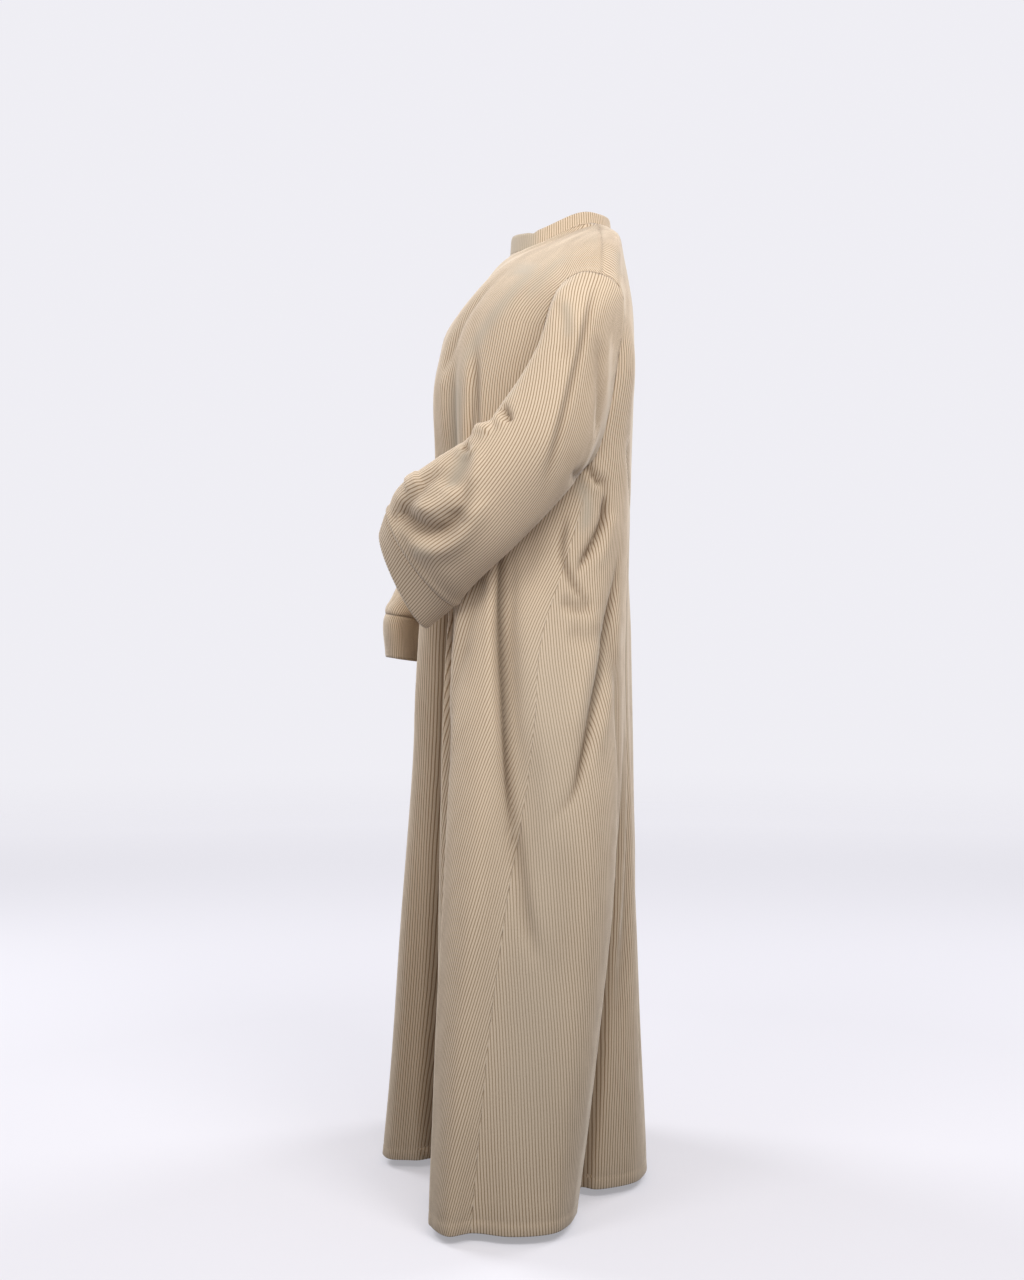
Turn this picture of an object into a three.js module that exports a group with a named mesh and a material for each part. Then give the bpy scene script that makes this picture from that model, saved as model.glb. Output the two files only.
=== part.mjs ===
// A long, loose abaya of beige cord cloth, hollow, in the pose in which it is worn: the left forearm is
// raised in front of the waist and the right one hangs lower. Each piece that a maker cuts is a wall of cloth
// of its own: front, back, collar band, two sleeves and two cuff bands, a hair apart where they are sewn.
//
// Millimetres. +X is the wearer's left, -Y the front, +Z up. The origin is midway between the two neck points
// of the shoulders, where the garment hangs from its wearer.
import * as THREE from "three";

const { Vector3 } = THREE;
const point = (xyz) => new Vector3(...xyz);
const mix = (a, b, share) => a.clone().lerp(b, share);
const smooth = (share) => THREE.MathUtils.smoothstep(share, 0, 1);
const table = (names, rows) => rows.map((row) => Object.fromEntries(names.map((name, i) => [name, row[i]])));

// Driving dimensions.
const CLOTH = 2; // thickness of the cord cloth
const BAND = 2.8; // the collar and cuff bands are two layers, pressed flat
const SEAM_GAP = 0.3; // between two pieces where they are sewn
const HEM = -1403; // height of the hem, from the neck points
const NECK = { halfWidth: 70, halfDepth: 76.5, middle: -2.5, neckPointY: 50 };
const NECK_RISE = { low: -36, high: 3, from: -62, to: 45 }; // it climbs from front to back, between these y
const NECK_SHARE = 0.28; // of a panel's half width is neckline, and the rest shoulder seam
const COLLAR = { front: 29, side: 21, back: 16, lean: 2, seat: 1.2 }; // heights, lean of its top, its stand
const SHOULDER_SEAM = [[90, 52, -14], [130, 53, -30], [175, 52, -52], [210, 50, -82], [230, 49, -108]];

// The lines across the body, by their place along the cloth from the shoulder seam. The rings below the
// armhole are level, and swing is how much of its own sway the right half has taken up there.
const LEVELS = {
  neck: { along: 50 },
  yoke: { along: 100 },
  chest: { along: 180 },
  bust: { along: 250, z: -215, swing: 0 },
  underarm: { along: 392, z: -357, swing: 0.1 },
  waist: { along: 635, z: -600, swing: 0.35 },
  hip: { along: 885, z: -850, swing: 0.7 },
  knee: { along: 1155, z: -1120, swing: 0.85 },
  hem: { along: 1435, z: HEM, swing: 1 },
};
const RINGS = ["bust", "underarm", "waist", "hip", "knee", "hem"];
const UNDERARM = LEVELS.underarm.along;
const HEM_ALONG = LEVELS.hem.along;

// Above the bust the cloth lies smooth on the shoulders: each line runs from the centre (0) to the armhole
// (1), through points of [share, x, y, z].
const UPPER = {
  front: {
    neck: [
      [0, 0, -101, -56], [0.12, 34, -88, -49], [0.2, 64, -60, -42], [0.26, 80, -30, -32],
      [0.3, 87, -4, -26], [0.5, 127, 5, -38], [0.75, 180, 12, -65], [1, 226, 23, -103],
    ],
    yoke: [
      [0, 0, -124, -82], [0.14, 38, -112, -75], [0.28, 77, -82, -60],
      [0.5, 138, -52, -72], [0.75, 185, -27, -91], [1, 220, -3, -115],
    ],
    chest: [[0, 0, -177, -151], [0.28, 76, -152, -134], [0.55, 148, -104, -134], [1, 209, -28, -160]],
  },
  back: {
    neck: [
      [0, 0, 88, -20], [0.14, 38, 86, -18], [0.28, 76, 80, -16],
      [0.5, 125, 78, -34], [0.75, 180, 74, -66], [1, 226, 64, -114],
    ],
    yoke: [[0, 0, 95, -50], [0.3, 80, 89, -47], [0.6, 150, 81, -72], [1, 221, 76, -128]],
    chest: [[0, 0, 107, -130], [0.35, 90, 101, -130], [0.65, 160, 94, -145], [1, 213, 80, -165]],
  },
};
const UPPER_LINES = ["neck", "yoke", "chest"];

// The edge of the armhole below the shoulder seam, by its place along the cloth.
const ARMHOLE = [
  { along: 0, front: [230, 49, -108], back: [230, 49, -108] },
  { along: 50, front: [226, 23, -103], back: [226, 64, -114] },
  { along: 100, front: [220, -3, -115], back: [221, 76, -128] },
  { along: 180, front: [209, -28, -160], back: [213, 80, -165] },
  { along: 250, front: [201, -35, -215], back: [207, 74, -215] },
  { along: 348, front: [197, -12, -312], back: [200, 56, -312] },
  { along: 392, front: [195, 41, -357], back: [195, 41, -357] },
];

// The fold lines of the left half, from centre front round the side to centre back. Each row is one ridge or
// hollow, with its [x, y] on each ring. The right half mirrors it, and right is how far it differs at the
// hem.
const FOLDS = table(["fold", "bust", "underarm", "waist", "hip", "knee", "hem", "right"], [
  ["centre front", [0, -187], [0, -188], [-12, -213], [-25, -231], [-30, -251], [-35, -276], [0, 0]],
  ["front ridge", [42, -188], [45, -190], [22, -209], [8, -222], [0, -240], [-4, -262], [-70, 0]],
  ["ridge side", [72, -179], [76, -174], [48, -190], [24, -200], [4, -215], [3, -228], [-72, -4]],
  ["front hollow", [96, -161], [95, -158], [78, -160], [50, -172], [26, -182], [20, -186], [-70, 2]],
  ["second ridge", [120, -149], [120, -149], [112, -171], [128, -179], [138, -182], [150, -190], [-12, -10]],
  ["second hollow", [129, -138], [123, -133], [138, -141], [180, -157], [205, -170], [225, -180], [10, -2]],
  ["lobe front edge", [142, -126], [143, -128], [172, -146], [240, -163], [270, -177], [300, -186], [12, -6]],
  ["lobe front ridge", [158, -107], [166, -95], [214, -112], [276, -118], [310, -145], [342, -158], [4, 6]],
  ["side hollow", [175, -85], [180, -58], [205, -84], [260, -73], [306, -103], [328, -130], [2, 8]],
  ["lobe ridge", [190, -60], [190, -12], [227, -50], [279, -25], [314, -50], [342, -80], [6, 4]],
  ["side", [201, -35], [195, 41], [227, -20], [277, 10], [310, -15], [339, -45], [6, -6]],
  ["lobe back ridge", [200, 86], [189, 62], [224, 15], [268, 35], [300, 15], [327, -18], [8, -4]],
  ["lobe back turn", [186, 95], [177, 77], [212, 45], [245, 58], [285, 33], [300, 0], [10, 6]],
  ["lobe back edge", [166, 98], [161, 87], [185, 72], [205, 74], [255, 46], [252, 12], [16, 4]],
  ["back hollow", [146, 99], [142, 92], [150, 86], [168, 78], [160, 52], [150, 20], [-20, 8]],
  ["back lobe side", [120, 101], [118, 96], [118, 92], [140, 90], [142, 78], [138, 60], [-22, 0]],
  ["back lobe", [88, 103], [88, 100], [85, 95], [105, 99], [118, 100], [110, 104], [-14, -4]],
  ["back lobe ridge", [45, 106], [45, 102], [50, 97], [60, 102], [62, 111], [66, 122], [-8, 0]],
  ["centre back", [0, 109], [0, 103], [0, 99], [0, 103], [0, 112], [0, 124], [0, 0]],
]);
const SIDE = FOLDS.findIndex((row) => row.fold === "side");
const LAST = FOLDS.length - 1;

// The side seam starts on the side row and drifts forwards over the folds, to stand at a row and a part.
const SIDE_SEAM = [
  { along: UNDERARM, row: 10 },
  { along: 560, row: 10 },
  { along: 735, row: 9 },
  { along: 885, row: 8.24 },
  { along: 1155, row: 7.98 },
  { along: HEM_ALONG, row: 7.95 },
];

// Sleeves: the four sides of the tube at each station along the arm. The first ring is the armhole itself.
const SIDES_OF_TUBE = ["station", "outer", "front", "inner", "back"];
const SLEEVES = {
  left: table(SIDES_OF_TUBE, [
    ["cap", [262, 27, -160], [236, -26, -178], [205, 24, -368], [228, 66, -208]],
    ["upper arm", [280, 6, -235], [245, -51, -243], [209, 6, -376], [238, 52, -285]],
    ["elbow", [292, -42, -338], [238, -113, -319], [210, -40, -388], [240, 22, -380]],
    ["forearm", [280, -137, -430], [225, -177, -361], [206, -112, -412], [240, -64, -477]],
    ["wrist", [244, -197, -476], [188, -234, -398], [168, -180, -466], [214, -130, -541]],
    ["cuff seam", [208, -220, -507], [164, -253, -430], [146, -196, -492], [186, -156, -567]],
    ["cuff edge", [175, -243, -535], [141, -265, -460], [122, -218, -525], [154, -197, -599]],
  ]),
  right: table(SIDES_OF_TUBE, [
    ["cap", [-262, 25, -160], [-236, -24, -178], [-205, 25, -368], [-228, 68, -208]],
    ["upper arm", [-282, 5, -238], [-248, -48, -246], [-209, 10, -376], [-240, 56, -288]],
    ["elbow", [-296, -38, -350], [-245, -100, -335], [-212, -35, -392], [-245, 28, -392]],
    ["forearm", [-280, -120, -440], [-232, -176, -400], [-196, -116, -440], [-238, -62, -482]],
    ["wrist", [-232, -190, -515], [-180, -238, -490], [-128, -205, -520], [-180, -160, -547]],
    ["cuff seam", [-222, -243, -581], [-143, -276, -573], [-66, -256, -576], [-147, -217, -583]],
    ["cuff edge", [-210, -243, -648], [-132, -275, -642], [-62, -255, -644], [-136, -218, -650]],
  ]),
};

// How finely the walls are divided.
const NECK_COLUMNS = 6;
const SHOULDER_COLUMNS = 15;
const ROWS_ABOVE = [0, 25, 50, 100, 150, 200, 250, 300, 348]; // along the cloth, above the underarm
const ROWS = [...ROWS_ABOVE, UNDERARM, 455, 540, 635, 720, 800, 885, 975, 1065, 1155, 1250, 1345, HEM_ALONG];
const SLEEVE_STEPS = 2; // between two stations

const COLOURS = { cloth: 0xb89f84, band: 0xb39a7f };

// A smooth curve through points, each at its own knot. A slope at its start may be given.
function through(knots, points, at, startSlope) {
  const last = knots.length - 1;
  let i = 0;
  while (i < last - 1 && at > knots[i + 1]) i++;
  const chord = (k) => points[k + 1].clone().sub(points[k]).divideScalar(knots[k + 1] - knots[k]);
  const slope = (k) => {
    if (k === 0) return startSlope ?? chord(0);
    if (k === last) return chord(last - 1);
    const before = knots[k] - knots[k - 1];
    const after = knots[k + 1] - knots[k];
    return mix(chord(k - 1), chord(k), before / (before + after));
  };
  const span = knots[i + 1] - knots[i];
  const f = (at - knots[i]) / span;
  return points[i]
    .clone()
    .multiplyScalar((1 + 2 * f) * (1 - f) ** 2)
    .addScaledVector(slope(i), f * (1 - f) ** 2 * span)
    .addScaledVector(points[i + 1], f * f * (3 - 2 * f))
    .addScaledVector(slope(i + 1), -f * f * (1 - f) * span);
}

// Running lengths of a line of points.
function lengths(points) {
  let sum = 0;
  return points.map((p, i) => (sum += i ? p.distanceTo(points[i - 1]) : 0));
}

function curveAt(points, share) {
  const along = lengths(points);
  return through(along, points, share * along.at(-1));
}

// The neckline, from centre front (0) to centre back (pi).
function neckAt(angle) {
  const y = NECK.middle - NECK.halfDepth * Math.cos(angle);
  const x = NECK.halfWidth * Math.sin(angle) ** 0.8;
  const { low, high, from, to } = NECK_RISE;
  return new Vector3(x, y, low + (high - low) * smooth((y - from) / (to - from)));
}
const NECK_POINT_ANGLE = Math.acos((NECK.middle - NECK.neckPointY) / NECK.halfDepth);
const shoulderSeam = [neckAt(NECK_POINT_ANGLE), ...SHOULDER_SEAM.map(point)];

// The upper edge of the left half of a panel, from the centre (0) to the end of the shoulder (1).
function topEdge(panel, share) {
  if (share >= NECK_SHARE) return curveAt(shoulderSeam, (share - NECK_SHARE) / (1 - NECK_SHARE));
  const turn = Math.asin(share / NECK_SHARE) / (Math.PI / 2);
  const centre = panel === "front" ? 0 : Math.PI;
  return neckAt(centre + (NECK_POINT_ANGLE - centre) * turn);
}

const mirrored = (p, side) => (side === "left" ? p : new Vector3(-p.x, p.y, p.z));

function ringPoint(row, side, ring) {
  const [x, y] = FOLDS[row][ring];
  const { z, swing } = LEVELS[ring];
  const centre = row === 0 || row === LAST;
  if (side === "left" || centre) return new Vector3(x, y, z);
  const [dx, dy] = FOLDS[row].right;
  return new Vector3(-x + dx * swing, y + dy * swing, z);
}

// Where the rows lie between centre (0) and underarm (1) on the underarm ring, in their own panel.
const restShares = (() => {
  const run = lengths(FOLDS.map((_, row) => ringPoint(row, "left", "underarm")));
  return run.map((l, row) => (row <= SIDE ? l / run[SIDE] : (run[LAST] - l) / (run[LAST] - run[SIDE])));
})();

const upperAt = (line, share) =>
  through(
    line.map((row) => row[0]),
    line.map((row) => point(row.slice(1))),
    share,
  );

// One fold line from the top edge to the hem, as knots and points. Its slope over the shoulder is shared by
// front and back, so that the cloth rounds the shoulder without a ridge.
function foldLine(row, side) {
  const panel = row < SIDE ? "front" : "back";
  const share = restShares[row];
  const upper = (which, line) => mirrored(upperAt(UPPER[which][line], share), side);
  const top = mirrored(topEdge(panel, share), side);
  const knots = [0, ...[...UPPER_LINES, ...RINGS].map((line) => LEVELS[line].along)];
  const points = [
    top,
    ...UPPER_LINES.map((line) => upper(panel, line)),
    ...RINGS.map((ring) => ringPoint(row, side, ring)),
  ];
  const other = panel === "front" ? "back" : "front";
  const over = share < NECK_SHARE ? undefined : points[1].clone().sub(upper(other, "neck"));
  return { knots, points, startSlope: over?.divideScalar(2 * knots[1]) };
}

function armholeLine(panel, side) {
  return {
    knots: ARMHOLE.map((row) => row.along),
    points: ARMHOLE.map((row) => mirrored(point(row[panel]), side)),
  };
}

function sideLine(side) {
  const rings = RINGS.slice(RINGS.indexOf("underarm"));
  return {
    knots: rings.map((ring) => LEVELS[ring].along),
    points: rings.map((ring) => ringPoint(SIDE, side, ring)),
  };
}

const lines = {};
for (const side of ["left", "right"]) {
  lines[side] = FOLDS.map((_, row) => (row === SIDE ? sideLine(side) : foldLine(row, side)));
  lines[side].armhole = { front: armholeLine("front", side), back: armholeLine("back", side) };
}
const lineAt = (line, along) => through(line.knots, line.points, along, line.startSlope);

// The points of a half's rows at one place along the cloth, with what share of its panel each stands at: 0 at
// centre front, 1 at the side seam or armhole, and 2 at centre back.
const halfCache = new Map();
function halfAt(panel, side, along) {
  const key = [panel, side, along].join();
  if (!halfCache.has(key)) halfCache.set(key, makeHalf(panel, side, along));
  return halfCache.get(key);
}

function makeHalf(panel, side, along) {
  const points = lines[side].map((line, row) =>
    row === SIDE && along < UNDERARM ? lineAt(lines[side].armhole[panel], along) : lineAt(line, along),
  );
  if (along < UNDERARM) {
    const shares = restShares.map((share, row) => (row <= SIDE ? share : 2 - share));
    // Past the armhole the cloth only guides the curve: it runs straight on, and meets its neighbour at the
    // underarm.
    const joined = smooth((along - LEVELS.bust.along) / (UNDERARM - LEVELS.bust.along));
    const step = panel === "front" ? 1 : -1;
    const straight = points[SIDE].clone().multiplyScalar(2).sub(points[SIDE - step]);
    points[SIDE + step] = mix(straight, points[SIDE + step], joined);
    return panel === "front"
      ? { shares: shares.slice(0, SIDE + 2), points: points.slice(0, SIDE + 2) }
      : { shares: shares.slice(SIDE - 1), points: points.slice(SIDE - 1) };
  }
  const run = lengths(points);
  const seamRow = through(
    SIDE_SEAM.map((row) => row.along),
    SIDE_SEAM.map((row) => new Vector3(row.row, 0, 0)),
    along,
  ).x;
  const before = Math.min(Math.floor(seamRow), LAST - 1);
  const seam = run[before] + (run[before + 1] - run[before]) * (seamRow - before);
  return { points, shares: run.map((l) => (l <= seam ? l / seam : 1 + (l - seam) / (run[LAST] - seam))) };
}

// A point of the front or the back: share is -1 at the right edge of the panel, 0 at its centre and 1 at its
// left edge, and along is from the shoulder seam down.
const sectionCache = new Map();
function sectionAt(panel, along) {
  const key = panel + along;
  if (!sectionCache.has(key)) {
    const left = halfAt(panel, "left", along);
    const right = halfAt(panel, "right", along);
    const fromCentre = (half) => {
      const rows = half.shares.map((share, i) => [panel === "front" ? share : 2 - share, half.points[i]]);
      return rows.sort((a, b) => a[0] - b[0]);
    };
    const rightRows = fromCentre(right).slice(1).reverse();
    const all = [...rightRows.map(([share, p]) => [-share, p]), ...fromCentre(left)];
    sectionCache.set(key, { knots: all.map((row) => row[0]), points: all.map((row) => row[1]) });
  }
  return sectionCache.get(key);
}

function bodyAt(panel, share, along) {
  const section = sectionAt(panel, along);
  const made = through(section.knots, section.points, share);
  if (along >= LEVELS.neck.along) return made;
  const first = sectionAt(panel, 0);
  const side = share < 0 ? "right" : "left";
  const edge = mirrored(topEdge(panel, Math.abs(share)), side);
  const off = edge.sub(through(first.knots, first.points, share));
  return made.addScaledVector(off, (1 - along / LEVELS.neck.along) ** 3);
}

// The armhole seen as a ring: 0 at the end of the shoulder seam, 0.25 at its front, 0.5 at the underarm and
// 0.75 at its back.
function armholeAt(side, turn) {
  const down = turn <= 0.5 ? turn * 2 : 2 - turn * 2;
  return lineAt(lines[side].armhole[turn <= 0.5 ? "front" : "back"], armholeAlong(down));
}
function armholeAlong(down) {
  const place = down * ROWS_ABOVE.length;
  const before = Math.min(Math.floor(place), ROWS_ABOVE.length - 1);
  return ROWS[before] + (ROWS[before + 1] - ROWS[before]) * (place - before);
}

// The ring of a station, smooth through its four sides.
function stationAt(row, turn) {
  const [outer, front, inner, back] = [row.outer, row.front, row.inner, row.back].map(point);
  const angle = turn * 2 * Math.PI;
  const middle = outer.clone().add(front).add(inner).add(back).multiplyScalar(0.25);
  const squash = front.clone().add(back).sub(outer).sub(inner).multiplyScalar(0.25);
  return middle
    .addScaledVector(outer.sub(inner), Math.cos(angle) / 2)
    .addScaledVector(front.sub(back), Math.sin(angle) / 2)
    .addScaledVector(squash, -Math.cos(2 * angle));
}

const sleeveCache = new Map();
function sleeveAt(side, turn, station) {
  const key = side + turn;
  if (!sleeveCache.has(key)) {
    const points = [armholeAt(side, turn), ...SLEEVES[side].map((row) => stationAt(row, turn))];
    sleeveCache.set(key, points);
  }
  const points = sleeveCache.get(key);
  return through(points.map((_, i) => i), points, station);
}

// A wall of cloth from a grid of points on its outer face: grid[row][column]. A closed one joins its last
// column to its first. Faces are wound so that the outer face looks away from the wearer.
function wall(grid, closed, thickness, normals) {
  const rows = grid.length;
  const columns = grid[0].length;
  const positions = [];
  for (const depth of [0, thickness])
    grid.forEach((line, r) =>
      line.forEach((p, c) => positions.push(...p.clone().addScaledVector(normals[r][c], -depth).toArray())),
    );
  const outer = (r, c) => r * columns + (c % columns);
  const inner = (r, c) => rows * columns + outer(r, c);
  const index = [];
  const quad = (a, b, c, d) => index.push(a, b, c, a, c, d);
  const across = closed ? columns : columns - 1;
  for (let r = 0; r < rows - 1; r++)
    for (let c = 0; c < across; c++) {
      quad(outer(r, c), outer(r + 1, c), outer(r + 1, c + 1), outer(r, c + 1));
      quad(inner(r, c), inner(r, c + 1), inner(r + 1, c + 1), inner(r + 1, c));
    }
  for (let c = 0; c < across; c++) {
    quad(outer(0, c), outer(0, c + 1), inner(0, c + 1), inner(0, c));
    quad(outer(rows - 1, c), inner(rows - 1, c), inner(rows - 1, c + 1), outer(rows - 1, c + 1));
  }
  if (!closed)
    for (let r = 0; r < rows - 1; r++) {
      quad(outer(r, 0), inner(r, 0), inner(r + 1, 0), outer(r + 1, 0));
      const last = columns - 1;
      quad(outer(r, last), outer(r + 1, last), inner(r + 1, last), inner(r, last));
    }
  const geometry = new THREE.BufferGeometry();
  geometry.setAttribute("position", new THREE.Float32BufferAttribute(positions, 3));
  geometry.setIndex(index);
  geometry.computeVertexNormals();
  return geometry;
}

// Outward normals of a grid, from its neighbours. Beyond an edge, past(row, column) may give the point that
// carries the surface on in the next piece.
function normalsOf(grid, closed, past = () => undefined) {
  const rows = grid.length;
  const columns = grid[0].length;
  const at = (r, c) => {
    const wrapped = closed ? (c + columns) % columns : c;
    return grid[r]?.[wrapped] ?? past(r, wrapped);
  };
  return grid.map((line, r) =>
    line.map((p, c) => {
      const right = at(r, c + 1) ?? p;
      const left = at(r, c - 1) ?? p;
      const down = at(r + 1, c) ?? p;
      const up = at(r - 1, c) ?? p;
      return down.clone().sub(up).cross(right.clone().sub(left)).normalize();
    }),
  );
}

// Draws the given edges of a grid back by half a seam gap, along its own surface.
function drawBack(grid, edges) {
  const rows = grid.length;
  const columns = grid[0].length;
  const pull = (p, towards) => p.addScaledVector(towards.clone().sub(p).normalize(), SEAM_GAP / 2);
  const made = grid.map((line) => line.map((p) => p.clone()));
  if (edges.includes("top")) made[0].forEach((p, c) => pull(p, grid[1][c]));
  if (edges.includes("bottom")) made[rows - 1].forEach((p, c) => pull(p, grid[rows - 2][c]));
  if (edges.includes("sides"))
    made.forEach((line, r) => {
      pull(line[0], grid[r][1]);
      pull(line[columns - 1], grid[r][columns - 2]);
    });
  return made;
}

// Columns of a panel, closer together round the neck, from its right edge to its left.
const steps = (count) => Array.from({ length: count + 1 }, (_, i) => i / count);
const neckColumns = steps(NECK_COLUMNS).map((part) => NECK_SHARE * Math.sin((part * Math.PI) / 2));
const shoulderColumns = steps(SHOULDER_COLUMNS).map((part) => NECK_SHARE + (1 - NECK_SHARE) * part);
const halfColumns = [...neckColumns.slice(0, -1), ...shoulderColumns];
const columns = [...halfColumns.slice(1).map((share) => -share).reverse(), ...halfColumns];

// Front and back. Seen from outside, the front runs from the wearer's right to left, and the back the other
// way.
function panel(name) {
  const order = name === "front" ? columns : [...columns].reverse();
  const other = name === "front" ? "back" : "front";
  const grid = ROWS.map((along) => order.map((share) => bodyAt(name, share, along)));
  const nextIn = Math.abs(order[1]);
  const past = (r, c) => {
    if (r < 0) return Math.abs(order[c]) < NECK_SHARE ? undefined : bodyAt(other, order[c], ROWS[1]);
    if (r >= ROWS.length || ROWS[r] < UNDERARM) return undefined;
    return bodyAt(other, c < 0 ? Math.sign(order[0]) * nextIn : -Math.sign(order[0]) * nextIn, ROWS[r]);
  };
  const normals = normalsOf(grid, false, past);
  return cloth(name, wall(drawBack(grid, ["top", "sides"]), false, CLOTH, normals), COLOURS.cloth);
}

// A sleeve and its cuff are one tube, parted at the cuff seam.
const armholeSteps = ROWS_ABOVE.length;
const turns = steps(2 * armholeSteps).slice(0, -1);
const CUFF_STATION = SLEEVES.left.findIndex((row) => row.station === "cuff seam") + 1;

// Round the tube, so that its outer face looks out.
const sleeveOrder = (side) => (side === "left" ? [...turns].reverse() : turns);

function tubeGrid(side, from, to) {
  const stations = steps((to - from) * SLEEVE_STEPS).map((part) => from + (to - from) * part);
  return stations.map((station) => sleeveOrder(side).map((turn) => sleeveAt(side, turn, station)));
}

function sleeve(side) {
  const grid = tubeGrid(side, 0, CUFF_STATION);
  const next = tubeGrid(side, CUFF_STATION, CUFF_STATION + 1)[1];
  const normals = normalsOf(grid, true, (r, c) => (r < 0 ? undefined : next[c]));
  const made = drawBack(grid, ["bottom"]);
  // At the armhole the sleeve stands off the edges of front and back, and its thickness stays on its side.
  sleeveOrder(side).forEach((turn, c) => {
    const away = awayFromBody(side, turn);
    made[0][c].addScaledVector(away, SEAM_GAP);
    normals[0][c].addScaledVector(away, -Math.max(0, normals[0][c].dot(away))).normalize();
  });
  return cloth("sleeve_" + side, wall(made, true, CLOTH, normals), COLOURS.cloth);
}

// The direction in which the body's cloth ends at the armhole.
function awayFromBody(side, turn) {
  const name = turn <= 0.5 ? "front" : "back";
  const along = armholeAlong(turn <= 0.5 ? turn * 2 : 2 - turn * 2);
  const hand = side === "left" ? 1 : -1;
  const inside = bodyAt(name, hand * halfColumns.at(-2), along);
  const below = bodyAt(name, hand, ROWS[ROWS_ABOVE.length + 1]);
  const from = turn === 0.5 ? below : inside;
  return bodyAt(name, hand, along).sub(from).normalize();
}

function cuff(side) {
  const grid = tubeGrid(side, CUFF_STATION, CUFF_STATION + 1);
  const before = tubeGrid(side, 0, CUFF_STATION).at(-2);
  const normals = normalsOf(grid, true, (r, c) => (r < 0 ? before[c] : undefined));
  return cloth("cuff_" + side, wall(drawBack(grid, ["top"]), true, BAND, normals), COLOURS.band);
}

// The collar band stands on the necklines of front and back.
function collar() {
  const outermost = neckColumns.at(-1);
  const neckShares = columns.filter((share) => Math.abs(share) <= outermost);
  const neck = (name) => neckShares.map((share) => bodyAt(name, share, 0));
  const base = [...neck("front"), ...neck("back").reverse().slice(1, -1)];
  const grid = [1, 0.5, 0].map((height) =>
    base.map((p) => {
      const backwards = (p.y - NECK.middle) / NECK.halfDepth;
      const end = backwards < 0 ? COLLAR.front : COLLAR.back;
      const tall = COLLAR.side + (end - COLLAR.side) * Math.abs(backwards);
      const inwards = new Vector3(-p.x, NECK.middle - p.y, 0).normalize();
      const raised = new Vector3(0, 0, COLLAR.seat + tall * height);
      return p.clone().addScaledVector(inwards, COLLAR.lean * height).add(raised);
    }),
  );
  return cloth("collar", wall(grid, true, BAND, normalsOf(grid, true)), COLOURS.band);
}

function cloth(name, geometry, color) {
  const material = new THREE.MeshStandardMaterial({ color, roughness: 0.95, metalness: 0 });
  const mesh = new THREE.Mesh(geometry, material);
  mesh.name = name;
  return mesh;
}

const abaya = new THREE.Group();
const body = new THREE.Group();
body.add(panel("front"), panel("back"), collar());
abaya.add(body);
for (const side of ["left", "right"]) {
  const arm = new THREE.Group();
  arm.add(sleeve(side), cuff(side));
  abaya.add(arm);
}

export default abaya;
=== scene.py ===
import math

import bmesh
import bpy
import numpy as np
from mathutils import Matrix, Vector


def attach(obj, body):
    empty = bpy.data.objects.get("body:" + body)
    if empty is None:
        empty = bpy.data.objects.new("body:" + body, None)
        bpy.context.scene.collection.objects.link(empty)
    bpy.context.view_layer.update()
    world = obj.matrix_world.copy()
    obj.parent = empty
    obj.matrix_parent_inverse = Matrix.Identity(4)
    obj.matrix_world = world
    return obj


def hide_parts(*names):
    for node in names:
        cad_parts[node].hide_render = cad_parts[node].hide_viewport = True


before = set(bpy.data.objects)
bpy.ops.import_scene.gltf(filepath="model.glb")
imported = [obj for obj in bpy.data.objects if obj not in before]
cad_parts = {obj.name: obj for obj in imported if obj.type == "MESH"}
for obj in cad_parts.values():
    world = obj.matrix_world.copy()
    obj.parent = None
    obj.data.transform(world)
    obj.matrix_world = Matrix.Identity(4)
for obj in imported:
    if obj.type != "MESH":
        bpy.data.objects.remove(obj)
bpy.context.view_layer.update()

# ---------------------------------------------------------------------------------------- studio
# A level camera square to the wearer's left side, and a pale floor that fades into a wall of pale light.
# Three soft lamps stand round the left side, the strongest a little behind it, and two more light the
# other sides.
CAMERA_PLACE = (2.65, -0.076, -0.615)
CAMERA_SENSOR, CAMERA_LENS = 36, 49.2  # mm
FLOOR_HEIGHT = -1.415
FLOOR_RADIUS = 9
FLOOR_COLOUR = (0.50, 0.492, 0.523, 1)
FLOOR_FADES = (2.4, 8.5)  # how far from its middle the floor starts to fade and is gone
# The floor glows a little: its colours near the middle and far off, and how far off they start and end. It
# shows the first glow and throws the second back up at the cloth, which is even, with no shadow in it.
SHOWN_GLOW = ((0.32, 0.317, 0.335, 1), (0.60, 0.594, 0.63, 1), 1.2, 5)
THROWN_GLOW = ((0.182, 0.182, 0.195, 1), (0.624, 0.611, 0.663, 1), 0.6, 2.6)
WALL = (0.865, 0.857, 0.905, 1)
WALL_THROWS = 0.42  # how much of the wall's light reaches the cloth
LAMPS = [  # place, the point it looks at, size, watts, colour
    ((1.6, 0.35, 1.1), (0.1, 0, -0.6), 0.9, 14, (1, 0.985, 0.965)),
    ((1.7, 0.9, 0.7), (0.1, 0, -0.6), 0.9, 20, (1, 0.985, 0.965)),
    ((1.4, -1.1, 0.6), (0.1, 0, -0.6), 0.9, 12, (1, 0.985, 0.965)),
    ((-1.5, -2.0, 1.1), (-0.1, 0, -0.6), 1.4, 50, (0.98, 0.99, 1)),
    ((-1.5, 2.0, 1.1), (-0.1, 0, -0.6), 1.4, 38, (0.98, 0.99, 1)),
]

camera = bpy.data.objects.new("camera", bpy.data.cameras.new("camera"))
bpy.context.scene.collection.objects.link(camera)
bpy.context.scene.camera = camera
bpy.context.scene.view_settings.view_transform = "Standard"
camera.location = CAMERA_PLACE
camera.rotation_euler = (math.radians(90), 0, math.radians(90))
camera.data.sensor_width = CAMERA_SENSOR
camera.data.lens = CAMERA_LENS


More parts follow.
